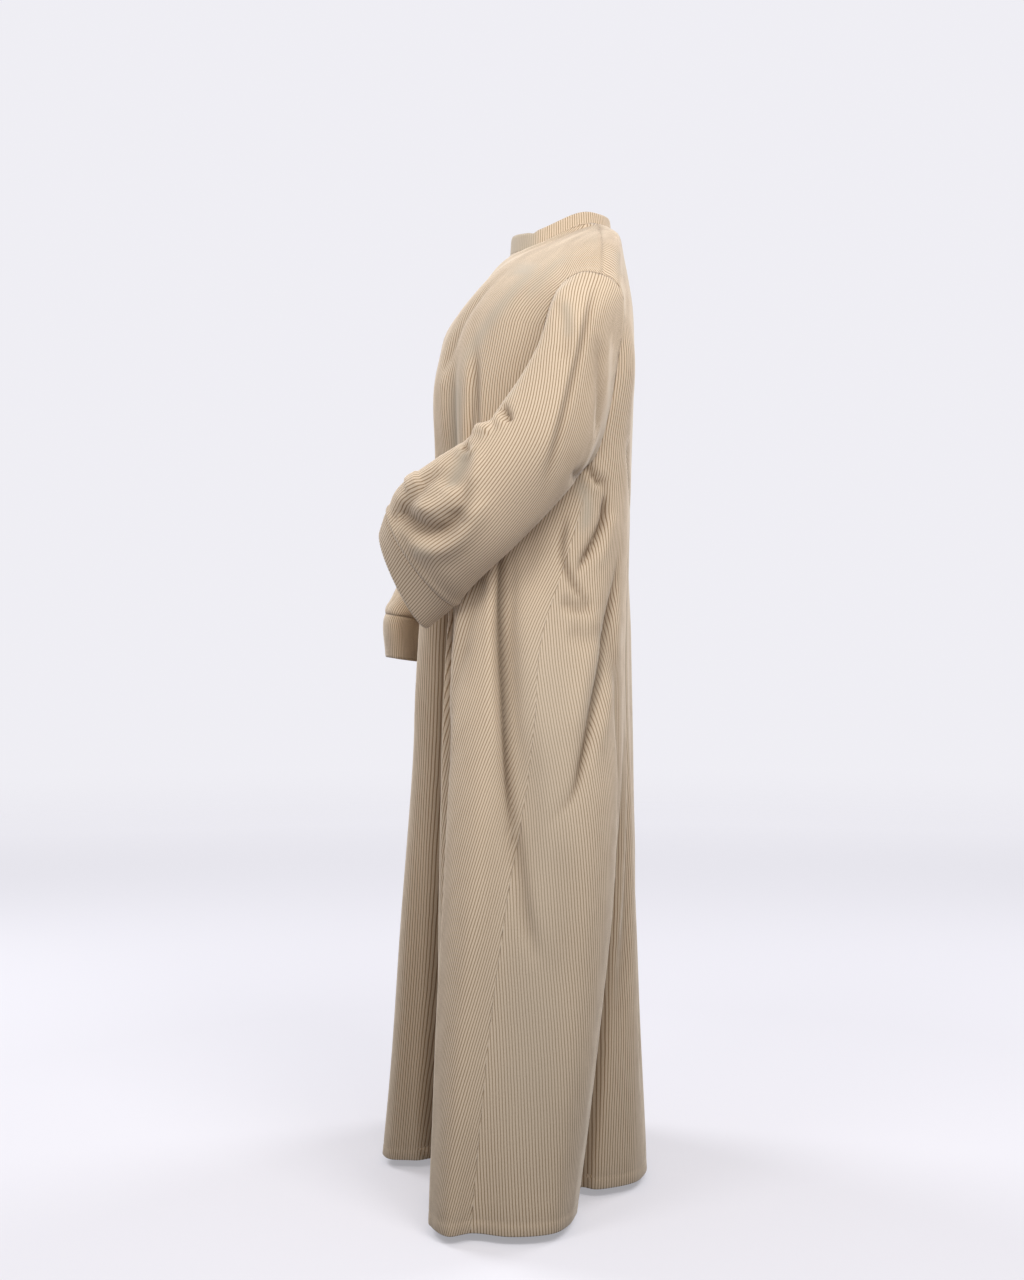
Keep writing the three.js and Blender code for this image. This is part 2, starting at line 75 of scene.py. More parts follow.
def node(tree, kind, inputs=(), **settings):
    """Adds a shader node. Its inputs are (socket, value or another node's output) pairs."""
    made = tree.nodes.new(kind)
    for name, value in settings.items():
        setattr(made, name, value)
    for socket, value in inputs:
        if kind == "ShaderNodeMix" and socket != "Factor":
            socket = [given.identifier for given in made.inputs].index(f"{socket}_Color")
        if isinstance(value, bpy.types.NodeSocket):
            tree.links.new(value, made.inputs[socket])
        else:
            made.inputs[socket].default_value = value
    return made


def bare_material(name):
    """A material with no shader nodes yet, and its node tree."""
    material = bpy.data.materials.new(name)
    material.use_nodes = True
    material.node_tree.nodes.clear()
    return material, material.node_tree


def mixed(tree, factor, one, other, **settings):
    """Two colours mixed."""
    inputs = [("Factor", factor), ("A", one), ("B", other)]
    return node(tree, "ShaderNodeMix", inputs, data_type="RGBA", **settings).outputs[2]


def floor_paper():
    material, tree = bare_material("floor_paper")
    place = node(tree, "ShaderNodeTexCoord").outputs["Object"]
    from_middle = node(tree, "ShaderNodeVectorMath", [(0, place)], operation="LENGTH").outputs["Value"]

    def outwards(start, end, **settings):
        """0 up to start from the middle, and 1 from end on."""
        span = [("Value", from_middle), ("From Min", start), ("From Max", end)]
        return node(tree, "ShaderNodeMapRange", span, **settings).outputs[0]

    def glow(near, far, start, end):
        tone = mixed(tree, outwards(start, end), near, far)
        return node(tree, "ShaderNodeEmission", [("Color", tone)]).outputs[0]

    paper = node(tree, "ShaderNodeBsdfDiffuse", [("Color", FLOOR_COLOUR)])
    shown = node(tree, "ShaderNodeAddShader", [(0, paper.outputs[0]), (1, glow(*SHOWN_GLOW))])
    straight_on = node(tree, "ShaderNodeLightPath").outputs["Is Camera Ray"]
    lit = node(tree, "ShaderNodeMixShader",
               [(0, straight_on), (1, glow(*THROWN_GLOW)), (2, shown.outputs[0])])
    gone = outwards(*FLOOR_FADES, interpolation_type="SMOOTHSTEP")
    clear = node(tree, "ShaderNodeBsdfTransparent")
    faded = node(tree, "ShaderNodeMixShader", [(0, gone), (1, lit.outputs[0]), (2, clear.outputs[0])])
    node(tree, "ShaderNodeOutputMaterial", [("Surface", faded.outputs[0])])
    return material


bm = bmesh.new()
bmesh.ops.create_circle(bm, cap_ends=True, segments=96, radius=FLOOR_RADIUS)
mesh = bpy.data.meshes.new("floor")
bm.to_mesh(mesh)
bm.free()
mesh.materials.append(floor_paper())
floor = bpy.data.objects.new("floor", mesh)
floor.location.z = FLOOR_HEIGHT
bpy.context.scene.collection.objects.link(floor)

for i, (place, target, size, watts, colour) in enumerate(LAMPS):
    lamp = bpy.data.objects.new(f"lamp_{i}", bpy.data.lights.new(f"lamp_{i}", "AREA"))
    lamp.data.shape = "DISK"
    lamp.data.size, lamp.data.energy, lamp.data.color = size, watts, colour
    lamp.location = place
    lamp.rotation_euler = (Vector(target) - Vector(place)).to_track_quat("-Z", "Y").to_euler()
    bpy.context.scene.collection.objects.link(lamp)

world = bpy.data.worlds.new("studio")
bpy.context.scene.world = world
world.use_nodes = True
world.node_tree.nodes.clear()
seen = node(world.node_tree, "ShaderNodeBackground", [("Color", WALL), ("Strength", 1)])
cast = node(world.node_tree, "ShaderNodeBackground", [("Color", WALL), ("Strength", WALL_THROWS)])
straight_on = node(world.node_tree, "ShaderNodeLightPath").outputs["Is Camera Ray"]
wall = node(world.node_tree, "ShaderNodeMixShader",
            [(0, straight_on), (1, cast.outputs[0]), (2, seen.outputs[0])])
node(world.node_tree, "ShaderNodeOutputWorld", [("Surface", wall.outputs[0])])

# ---------------------------------------------------------------------------------------- front and back
# Two wide pieces of cord cloth, sewn together at the shoulders and sides, that hang in soft lengthwise
# folds to a turned-up hem. The cords run straight down parallel to each centre, so the flare cuts them off
# at the side seams.
MM = 0.001
CORD = 3.9 * MM  # from one cord to the next
CORD_DEPTH = 0.6 * MM
CORD_SHAPE = ((0, -1.0), (0.5, 0.0))  # where its columns of points lie across a cord, and how deep
CORD_END = 3 * MM  # how far from a seam the cords start to flatten
GREY_PATCH_FLATTENING = 0.7  # how much of their depth they lose where the colour is painted grey for sheen and shade
CLOTH = 1.5 * MM
# The neckline: its half sizes, the y of its middle and of the neck point, and how round its sides are.
NECK = {"half_width": 0.070, "half_depth": 0.0765, "middle": -0.0025, "neck_point": 0.050, "roundness": 0.8}
NECK_RISE = {"low": -0.036, "high": 0.003, "start": -0.062, "end": 0.045}  # heights, and the y between them
NECK_SHARE = 0.28  # of a panel's half width is neckline, and the rest shoulder seam
SHOULDER_SEAM = [(90, 52, -14), (130, 53, -30), (175, 52, -52), (210, 50, -82), (230, 49, -108)]
UNDERARM, HEM = 392, 1435  # along the cloth from the shoulder seam, as all the rows below are

# Smooth lines over the shoulders, each so many millimetres along the cloth, from the centre (0) to the
# armhole (1): share, x, y, z.
UPPER = {
    "front": {
        50: [(0, 0, -101, -56), (0.12, 34, -88, -49), (0.2, 64, -60, -42), (0.26, 80, -30, -32),
             (0.3, 87, -4, -26), (0.5, 127, 5, -38), (0.75, 180, 12, -65), (1, 226, 23, -103)],
        100: [(0, 0, -124, -82), (0.14, 38, -112, -75), (0.28, 77, -82, -60), (0.5, 138, -52, -72),
              (0.75, 185, -27, -91), (1, 220, -3, -115)],
        180: [(0, 0, -177, -151), (0.28, 76, -152, -134), (0.55, 148, -104, -134), (1, 209, -28, -160)],
    },
    "back": {
        50: [(0, 0, 88, -20), (0.14, 38, 86, -18), (0.28, 76, 80, -16), (0.5, 125, 78, -34),
             (0.75, 180, 74, -66), (1, 226, 64, -114)],
        100: [(0, 0, 95, -50), (0.3, 80, 89, -47), (0.6, 150, 81, -72), (1, 221, 76, -128)],
        180: [(0, 0, 107, -130), (0.35, 90, 101, -130), (0.65, 160, 94, -145), (1, 213, 80, -165)],
    },
}
FIRST_LINE = min(UPPER["front"])
ARMHOLE = {
    "along": (0, 50, 100, 180, 250, 348, UNDERARM),
    "front": [(230, 49, -108), (226, 23, -103), (220, -3, -115), (209, -28, -160), (201, -35, -215),
              (197, -12, -312), (195, 41, -357)],
    "back": [(230, 49, -108), (226, 64, -114), (221, 76, -128), (213, 80, -165), (207, 74, -215),
             (200, 56, -312), (195, 41, -357)],
}

# Level rings below the bust: along, height, and how much of its own sway the right half has taken up.
RINGS = {
    "bust": (250, -215, 0), "underarm": (UNDERARM, -357, 0.1), "waist": (635, -600, 0.35),
    "hip": (885, -850, 0.7), "knee": (1155, -1120, 0.85), "hem": (HEM, -1403, 1),
}
# Fold lines of the left half, from centre front round to centre back: x and y on each ring, and last how
# far the right half, which mirrors it, differs at the hem.
FOLDS = {
    "centre front": [(0, -187), (0, -188), (-12, -213), (-25, -231), (-30, -251), (-35, -276), (0, 0)],
    "front ridge": [(42, -188), (45, -190), (22, -209), (8, -222), (0, -240), (-4, -262), (-70, 0)],
    "ridge side": [(72, -179), (76, -174), (48, -190), (24, -200), (4, -215), (3, -228), (-72, -4)],
    "front hollow": [(96, -161), (95, -158), (78, -160), (50, -172), (26, -182), (20, -186), (-70, 2)],
    "second ridge": [(120, -149), (120, -149), (112, -171), (128, -179), (138, -182), (150, -190),
                     (-12, -10)],
    "second hollow": [(129, -138), (123, -133), (138, -141), (180, -157), (205, -170), (225, -180),
                      (10, -2)],
    "lobe front edge": [(142, -126), (143, -128), (172, -146), (240, -163), (270, -177), (300, -186),
                        (12, -6)],
    "lobe front ridge": [(158, -107), (166, -95), (214, -112), (276, -118), (310, -145), (342, -158),
                         (4, 6)],
    "side hollow": [(175, -85), (180, -58), (205, -84), (260, -73), (306, -103), (328, -130), (2, 8)],
    "lobe ridge": [(190, -60), (190, -12), (227, -50), (279, -25), (314, -50), (342, -80), (6, 4)],
    "side": [(201, -35), (195, 41), (227, -20), (277, 10), (310, -15), (339, -45), (6, -6)],
    "lobe back ridge": [(200, 86), (189, 62), (224, 15), (268, 35), (300, 15), (327, -18), (8, -4)],
    "lobe back turn": [(186, 95), (177, 77), (212, 45), (245, 58), (285, 33), (300, 0), (10, 6)],
    "lobe back edge": [(166, 98), (161, 87), (185, 72), (205, 74), (255, 46), (252, 12), (16, 4)],
    "back hollow": [(146, 99), (142, 92), (150, 86), (168, 78), (160, 52), (150, 20), (-20, 8)],
    "back lobe side": [(120, 101), (118, 96), (118, 92), (140, 90), (142, 78), (138, 60), (-22, 0)],
    "back lobe": [(88, 103), (88, 100), (85, 95), (105, 99), (118, 100), (110, 104), (-14, -4)],
    "back lobe ridge": [(45, 106), (45, 102), (50, 97), (60, 102), (62, 111), (66, 122), (-8, 0)],
    "centre back": [(0, 109), (0, 103), (0, 99), (0, 103), (0, 112), (0, 124), (0, 0)],
}
SIDE = list(FOLDS).index("side")
# The side seam leaves the side fold and drifts forwards: along the cloth, and the fold row it is at.
SIDE_SEAM = [(UNDERARM, 10), (560, 10), (735, 9), (885, 8.24), (1155, 7.98), (HEM, 7.95)]


def through(knots, points, at, start_slope=None):
    """Smooth curves through rows of points, each row at its own knot."""
    knots, points = np.asarray(knots, float), np.asarray(points, float)
    wide = (-1,) + (1,) * (points.ndim - 1)
    spans = np.diff(knots).reshape(wide)
    chords = np.diff(points, axis=0) / spans
    inner = (chords[:-1] * spans[1:] + chords[1:] * spans[:-1]) / (spans[1:] + spans[:-1])
    first = chords[:1] if start_slope is None else start_slope[None]
    slopes = np.concatenate([first, inner, chords[-1:]])
    at = np.atleast_1d(at)
    i = np.clip(np.searchsorted(knots, at) - 1, 0, len(knots) - 2)
    span = spans[i]
    f = (at - knots[i]).reshape(wide) / span
    return (points[i] * (1 + 2 * f) * (1 - f) ** 2 + slopes[i] * f * (1 - f) ** 2 * span
            + points[i + 1] * f * f * (3 - 2 * f) - slopes[i + 1] * f * f * (1 - f) * span)


def smooth(share):
    share = np.clip(share, 0, 1)
    return share * share * (3 - 2 * share)


def running(points):
    """How far along a line each of its points lies."""
    return np.concatenate([[0], np.cumsum(np.linalg.norm(np.diff(points, axis=0), axis=1))])


def neck_at(angle):
    """The neckline, from centre front (0) to centre back (pi)."""
    y = NECK["middle"] - NECK["half_depth"] * np.cos(angle)
    x = NECK["half_width"] * np.abs(np.sin(angle)) ** NECK["roundness"]
    climb = smooth((y - NECK_RISE["start"]) / (NECK_RISE["end"] - NECK_RISE["start"]))
    return np.stack([x, y, NECK_RISE["low"] + (NECK_RISE["high"] - NECK_RISE["low"]) * climb], -1)


NECK_POINT = math.acos((NECK["middle"] - NECK["neck_point"]) / NECK["half_depth"])
shoulder_seam = np.vstack([neck_at(np.array([NECK_POINT])), np.array(SHOULDER_SEAM) * MM])


def top_edge(panel, share):
    """The upper edge of a left half, from the centre (0) to the end of the shoulder (1)."""
    length = running(shoulder_seam)
    along_seam = np.clip((share - NECK_SHARE) / (1 - NECK_SHARE), 0, 1)
    seam = through(length, shoulder_seam, along_seam * length[-1])
    turn = np.arcsin(np.clip(share / NECK_SHARE, 0, 1)) / (math.pi / 2)
    centre = 0 if panel == "front" else math.pi
    neck = neck_at(centre + (NECK_POINT - centre) * turn)
    return np.where((share < NECK_SHARE)[:, None], neck, seam)


def mirrored(points, side):
    return points if side == "left" else points * (-1, 1, 1)


def ring_points(side, ring):
    """Where one half's fold lines cross a ring."""
    height, swing = RINGS[ring][1:]
    column = list(RINGS).index(ring)
    rows = []
    for name, row in FOLDS.items():
        x, y = row[column]
        if side == "right" and not name.startswith("centre"):
            x, y = -x + row[-1][0] * swing, y + row[-1][1] * swing
        rows.append((x, y, height))
    return np.array(rows) * MM


def rest_shares():
    """Where the rows lie on the underarm ring: 0 at the centre of their own panel, 1 at the side."""
    run = running(ring_points("left", "underarm"))
    return np.where(np.arange(len(run)) <= SIDE, run / run[SIDE], (run[-1] - run) / (run[-1] - run[SIDE]))


def fold_lines(side):
    """Every fold line of one half, as knots and points, with its slope where it leaves the shoulder."""
    shares = rest_shares()
    in_front = np.arange(len(shares)) < SIDE

    def upper(panel, along):
        line = np.array(UPPER[panel][along])
        return mirrored(through(line[:, 0], line[:, 1:] * MM, shares), side)

    def both(front, back):
        return np.where(in_front[:, None], front, back)

    tops = mirrored(both(top_edge("front", shares), top_edge("back", shares)), side)
    levels = list(UPPER["front"])
    points = [tops] + [both(upper("front", along), upper("back", along)) for along in levels]
    over = (upper("front", levels[0]) - upper("back", levels[0])) / (2 * levels[0])
    straight = (points[1] - tops) / levels[0]
    start = np.where((shares < NECK_SHARE)[:, None], straight, both(over, -over))
    knots = [0] + levels + [RINGS[ring][0] for ring in RINGS]
    return knots, np.array(points + [ring_points(side, ring) for ring in RINGS]), start


lines = {side: fold_lines(side) for side in ("left", "right")}


def armhole_at(panel, side, along):
    return mirrored(through(ARMHOLE["along"], np.array(ARMHOLE[panel]) * MM, along), side)


def half_at(panel, side, along):
    """One half's fold rows at a place along the cloth, with their shares: 1 is the side, 2 centre back."""
    knots, points, start = lines[side]
    rows = through(knots, points, along, start)[0]
    if along < UNDERARM:
        rows[SIDE] = armhole_at(panel, side, along)[0]
        own = rest_shares()
        shares = np.where(np.arange(len(own)) <= SIDE, own, 2 - own)
        joined = smooth((along - RINGS["bust"][0]) / (UNDERARM - RINGS["bust"][0]))
        step = 1 if panel == "front" else -1
        straight = 2 * rows[SIDE] - rows[SIDE - step]
        rows[SIDE + step] = straight + (rows[SIDE + step] - straight) * joined
        keep = slice(0, SIDE + 2) if panel == "front" else slice(SIDE - 1, None)
        return shares[keep], rows[keep]
    below = [RINGS[ring][0] for ring in RINGS if RINGS[ring][0] >= UNDERARM]
    rows[SIDE] = through(below, points[-len(below):, SIDE], along)[0]
    run = running(rows)
    seam_row = through([row[0] for row in SIDE_SEAM], [[row[1]] for row in SIDE_SEAM], along)[0, 0]
    seam = np.interp(seam_row, np.arange(len(run)), run)
    return np.where(run <= seam, run / seam, 1 + (run - seam) / (run[-1] - seam)), rows


def panel_at(panel, shares, along):
    """Points of the front or back: share -1 is its right edge, 0 its centre, 1 its left edge."""
    def section(where):
        halves = []
        for side in ("right", "left"):
            share, rows = half_at(panel, side, where)
            if panel == "back":
                share, rows = 2 - share[::-1], rows[::-1]
            halves.append((share, rows))
        (right, right_rows), (left, left_rows) = halves
        return np.concatenate([-right[:0:-1], left]), np.concatenate([right_rows[:0:-1], left_rows])

    made = through(*section(along), shares)
    if along < FIRST_LINE:
        edge = top_edge(panel, np.abs(shares))
        edge[:, 0] *= np.where(shares < 0, -1, 1)
        made += (edge - through(*section(0), shares)) * (1 - along / FIRST_LINE) ** 3
    return made


# A crease or a patch painted grey lies along a line: how many widths beside it that is reckoned, how many
# points of the line to a width, what share of it tapers off at each end, and what is left at the very end.
CREASE = {"reach": 3.2, "points": 2.5, "taper": 0.25, "end": 0.08}
CHUNK = 1000000  # distances worked out at once
VIEWS = {"left": (0, 1), "right": (0, -1), "front": (1, -1), "back": (1, 1)}  # axis looked along, sign
TURNED_AWAY = 2  # how soon a crease ends where the cloth turns away from its view
# How much shade is painted into a drawn-in crease for its depth over its width, and the most it gets.
CREASE_SHADE_RATE, CREASE_SHADE_MOST = 0.4, 0.9  # how dark a crease gets for its depth over its width, and at most


def fading(apart, width):
    """1 on a line, and fading to nothing beside it."""
    return np.exp(-(apart / width) ** 2)


def spread(line, points, width):
    """How much of a crease reaches each point: 1 on its line, fading sideways and towards both ends."""
    line = np.asarray(line, float) * MM
    length = running(line)
    steps = math.ceil(length[-1] / width * CREASE["points"]) + 2
    fine = through(length, line, np.linspace(0, length[-1], steps))
    reach = np.zeros(len(points))
    low, high = fine.min(0) - CREASE["reach"] * width, fine.max(0) + CREASE["reach"] * width
    near = np.where(np.all((points > low) & (points < high), axis=1))[0]
    for part in np.array_split(near, max(1, len(near) * len(fine) // CHUNK)):
        apart = np.linalg.norm(points[part, None] - fine[None], axis=2)
        along = apart.argmin(1) / (len(fine) - 1)
        taper = smooth(along / CREASE["taper"]) * smooth((1 - along) / CREASE["taper"])
        reach[part] = fading(apart.min(1), width) * (CREASE["end"] + (1 - CREASE["end"]) * taper)
    return reach


def facing(points, normals, view, round_edge):
    """The points as seen from one side, and how far each faces that side. Where round_edge is high, creases
    run on past the outline as seen from there, and where it is below 0, they end before it."""
    across, sign = VIEWS[view]
    seen = smooth(sign * normals[:, across] * TURNED_AWAY + round_edge)
    return (points[:, 1:] if across == 0 else points[:, ::2]), seen


def creased(points, normals, creases, round_edge):
    """How far each point moves along its normal for a piece's creases, and how much painted shade it gets
    for lying in one that is drawn in.
    """
    moved, unshaded = np.zeros(len(points)), np.ones(len(points))
    for view, line, width, depth in creases:
        flat, seen = facing(points, normals, view, round_edge)
        reach = spread(line, flat, width * MM) * seen
        moved += reach * depth * MM
        # A drawn-in crease paints shade into its hollow, more for deeper and narrower ones.
        unshaded *= 1 - reach * min(max(-CREASE_SHADE_RATE * depth / width, 0), CREASE_SHADE_MOST)
    return moved, 1 - unshaded


def flattened_grey_patches(points, normals, patches):
    """How far the cords are flattened and the colour painted grey, which stands for sheen and shade: 0 where
    the cords stand, 1 where they hardly show.
    """
    left = np.ones(len(points))
    for view, line, width, share in patches:
        flat, seen = facing(points, normals, view, 0)
        left *= 1 - spread(line, flat, width * MM) * seen * share
    return 1 - left


WAVES = {"count": 7, "shortest": 0.7, "longest": 1.5, "upright": 0.45}


def uneven(points, size, height, seed):
    """A gentle, aimless waviness such as any hanging cloth has, its waves longer down the cloth."""
    rng = np.random.default_rng(seed)
    moved = np.zeros(len(points))
    for _ in range(WAVES["count"]):
        way = rng.normal(size=3)
        way[2] *= WAVES["upright"]
        wave = 2 * math.pi / (size * rng.uniform(WAVES["shortest"], WAVES["longest"]))
        moved += np.sin(points @ (way / np.linalg.norm(way)) * wave + rng.uniform(0, 2 * math.pi))
    return moved * height / WAVES["count"] ** 0.5


def worked(points, normals, creases, round_edge, waves, patches):
    """How far each point of a grid moves for its creases and waves, how much painted shade it gets in a
    crease, and how far its cords are flattened and its colour painted grey for sheen and shade."""
    every, every_normal = points.reshape(-1, 3), normals.reshape(-1, 3)
    moved, hollow = creased(every, every_normal, creases, round_edge)
    moved += uneven(every, *waves)
    flat_and_painted_grey = flattened_grey_patches(every, every_normal, patches)
    return [amount.reshape(points.shape[:2]) for amount in (moved, hollow, flat_and_painted_grey)]


def cord_columns(half_width):
    """Columns across a piece, a few for every cord, and how deep each lies."""
    cords = math.ceil(half_width / CORD)
    columns = [(CORD * (i + at), depth) for i in range(-cords, cords) for at, depth in CORD_SHAPE]
    columns.append((CORD * cords, CORD_SHAPE[0][1]))
    return np.array(columns).T


def relief(depths, to_seam, flat_and_painted_grey):
    """How far in each column lies between the cords, which flatten at seams and where the colour is painted
    grey.
    """
    return CORD_DEPTH * depths * smooth(to_seam / CORD_END) * (1 - GREY_PATCH_FLATTENING * flat_and_painted_grey)


ONE_POINT = 2e-5  # points closer than this are one


def cloth_piece(node_name, grid, across, down, flat_and_painted_grey, hollow, flipped, thickness=CLOTH):
    """A cloth piece on a grid of points, rows by columns, flipped where that turns its face outwards. Its UV
    map is where a point lies on the cut cloth, across and down it. Two attributes hold how far its cords are
    flattened and its colour painted grey for sheen and shade, and the painted shade in the hollows of its
    creases. It stands for the node of that name."""
    name = node_name + "_cloth"
    rows, columns = grid.shape[:2]
    bm = bmesh.new()
    bmesh.ops.create_grid(bm, x_segments=columns - 1, y_segments=rows - 1, size=0.5)
    mesh = bpy.data.meshes.new(name)
    bm.to_mesh(mesh)
    bm.free()
    flat_grid = np.empty(len(mesh.vertices) * 3)
    mesh.vertices.foreach_get("co", flat_grid)
    flat_grid = flat_grid.reshape(-1, 3) + 0.5
    column = np.rint(flat_grid[:, 0] * (columns - 1)).astype(int)
    if flipped:
        column = columns - 1 - column
    row = rows - 1 - np.rint(flat_grid[:, 1] * (rows - 1)).astype(int)
    mesh.vertices.foreach_set("co", grid[row, column].ravel())
    corner = np.empty(len(mesh.loops), int)
    mesh.loops.foreach_get("vertex_index", corner)
    cut = np.stack(np.broadcast_arrays(across, -down), -1)
    uv = mesh.uv_layers.new(name="cut")
    uv.data.foreach_set("uv", cut[row, column][corner].ravel())
    # The attribute hollow is the painted shade in crease hollows; the other holds the painted grey and the
    # flattening of the cords.
    for attribute, amount in (("flat_and_painted_grey", flat_and_painted_grey), ("hollow", hollow)):
        painted = mesh.attributes.new(attribute, "FLOAT", "POINT")
        painted.data.foreach_set("value", np.broadcast_to(amount, (rows, columns))[row, column])
    bm = bmesh.new()
    bm.from_mesh(mesh)
    bmesh.ops.remove_doubles(bm, verts=bm.verts, dist=ONE_POINT)
    bmesh.ops.dissolve_degenerate(bm, edges=bm.edges, dist=ONE_POINT)
    for face in bm.faces:
        face.smooth = True
    bm.to_mesh(mesh)
    bm.free()
    piece = bpy.data.objects.new(name, mesh)
    bpy.context.scene.collection.objects.link(piece)
    if thickness:
        wall = piece.modifiers.new("wall", "SOLIDIFY")
        wall.thickness = thickness
        wall.offset = -1
    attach(piece, "root")
    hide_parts(node_name)
    return piece


# Creases: where the cloth buckles, with shade painted into the hollow wherever it is drawn in. Each has the
# side that it is seen from, its line there, how wide it is, and how far the cloth is pushed out, or drawn in
# where that is below 0, all in millimetres.
BODY_CREASES = [
    # Left side: the long fold line in front of the seam, with a ridge on either side.
    ("left", [(-90, -400), (-92, -490), (-90, -600), (-85, -720), (-79, -822), (-68, -960)], 9, -4),
    ("left", [(-90, -400), (-92, -490), (-90, -600), (-85, -720), (-79, -822), (-70, -930)], 4, -7.5),
    ("left", [(-104, -420), (-106, -560), (-104, -700), (-95, -850)], 9, 5),
    ("left", [(-64, -420), (-66, -560), (-60, -700), (-54, -820)], 11, 4),
    ("left", [(-74, -850), (-65, -940), (-52, -1010), (-30, -1048)], 10, -6),
    # Left side: the swag that hangs from the underarm behind the seam, and the short ones above it.
    ("left", [(76, -470), (74, -506), (56, -613), (38, -695), (20, -777), (3, -831), (-26, -856)],
     11, -4.5),
    ("left", [(77, -480), (75, -520), (57, -613), (39, -695), (21, -777), (4, -829), (-24, -856)], 4, -7),
    ("left", [(92, -530), (76, -620), (57, -705), (36, -795)], 11, 5),
    ("left", [(36, -560), (36, -620), (18, -700), (0, -770)], 16, 4),
    ("left", [(57, -400), (52, -448), (34, -486), (12, -522)], 6, -6),
    ("left", [(57, -400), (52, -448), (34, -486), (12, -522)], 3, -5),
    ("left", [(68, -430), (58, -480), (36, -520)], 9, 4),
    ("left", [(-2, -440), (-6, -498), (6, -531), (34, -569)], 5, -6),
    ("left", [(-12, -560), (14, -570), (40, -566)], 8, -6),
    ("left", [(-2, -600), (30, -612), (54, -596)], 14, -4),
    ("left", [(24, -352), (36, -380), (50, -394), (66, -396)], 5, -9),
    ("left", [(20, -366), (34, -394), (50, -408)], 7, 4),
    ("left", [(58, -270), (52, -310), (44, -352)], 5, -7),
    ("left", [(28, -352), (42, -356)], 5, -10),
    # Left side: where the near fold laps over the front one, and over the back one.
    ("left", [(-182, -250), (-180, -582), (-185, -818), (-186, -961), (-194, -1152), (-199, -1260),
              (-204, -1700)], 12, -22),
    ("front", [(150, -400), (168, -520), (186, -660), (215, -800)], 20, 14),
    ("left", [(96, -560), (92, -692), (85, -811), (66, -1030), (55, -1148), (43, -1266), (-10, -1750)],
     9, -13),
    ("left", [(-10, -880), (-4, -980), (-14, -1100)], 26, -3),
    ("left", [(-118, -900), (-126, -1100), (-132, -1350)], 28, 4),
    # Right side: the same folds, a little further apart.
    ("right", [(-96, -420), (-94, -560), (-88, -680), (-80, -800), (-70, -930)], 18, -9),
    ("right", [(-94, -430), (-92, -560), (-86, -680), (-78, -810)], 5, -8),
    ("right", [(-122, -460), (-122, -620), (-112, -760)], 15, 4),
    ("right", [(-60, -450), (-58, -600), (-50, -740)], 16, 4),
    ("right", [(70, -440), (64, -550), (48, -660), (24, -760), (-8, -835)], 18, -10),
    ("right", [(68, -470), (60, -570), (42, -670), (18, -765)], 6, -8),
    ("right", [(88, -560), (76, -660), (52, -780)], 16, 5),
    ("right", [(30, -360), (46, -398), (60, -400)], 6, -5),
    ("right", [(-180, -250), (-184, -640), (-186, -860), (-190, -1100), (-198, -1700)], 15, -12),
    ("right", [(94, -580), (86, -811), (68, -1030), (56, -1148), (46, -1266), (20, -1750)], 11, -12),
    ("right", [(-30, -900), (-24, -1040), (-34, -1200)], 22, -6),
    # Front: drag lines from the shoulders to the bust, then upright folds.
    ("front", [(-112, -80), (-82, -160), (-62, -235)], 9, -4),
    ("front", [(116, -84), (90, -160), (66, -240)], 9, -4),
    ("front", [(-46, -62), (-20, -100), (2, -110), (26, -98), (50, -64)], 7, -2.5),
    ("front", [(-98, -300), (-112, -520), (-128, -800), (-140, -1040)], 12, -8),
    ("front", [(-42, -300), (-46, -520), (-50, -760), (-44, -1000)], 13, -7),
    ("front", [(4, -320), (6, -560), (2, -820)], 18, 4),
    ("front", [(58, -310), (66, -560), (70, -800), (64, -1060)], 12, -7),
    ("front", [(122, -330), (134, -560), (150, -820), (158, -1080)], 12, -8),
    ("front", [(-170, -420), (-184, -640), (-206, -900)], 12, -6),
    ("front", [(182, -440), (196, -660), (214, -930)], 12, -6),
    # Back: short swags from the armholes, and long folds that spread to the hem.
    ("back", [(-172, -330), (-136, -398), (-88, -430)], 9, -6),
    ("back", [(168, -322), (130, -386), (84, -424)], 9, -6),
    ("back", [(-34, -110), (-36, -300), (-46, -540)], 13, -5),
    ("back", [(44, -130), (48, -330), (64, -620)], 12, -6),
    ("back", [(2, -480), (8, -760), (4, -1060)], 22, 6),
    ("back", [(-118, -420), (-108, -640), (-122, -900), (-140, -1180)], 12, -9),
    ("back", [(122, -430), (112, -660), (126, -940), (150, -1240)], 12, -9),
    ("back", [(-60, -640), (-62, -900), (-72, -1260)], 14, -7),
    ("back", [(66, -700), (70, -980), (84, -1300)], 14, -7),
    ("back", [(-196, -520), (-190, -760), (-214, -1060)], 13, -7),
    ("back", [(200, -540), (192, -780), (212, -1100)], 13, -7),
    # Left side, near its front edge: upright folds beside the bust.
    ("left", [(-181, -190), (-181, -330), (-179, -440)], 7, 3),
    ("left", [(-160, -195), (-160, -300), (-158, -440)], 9, -5),
    ("left", [(-139, -170), (-140, -300), (-136, -430)], 6, 4),
    ("left", [(-129, -180), (-129, -310), (-124, -430)], 6, -5),
]
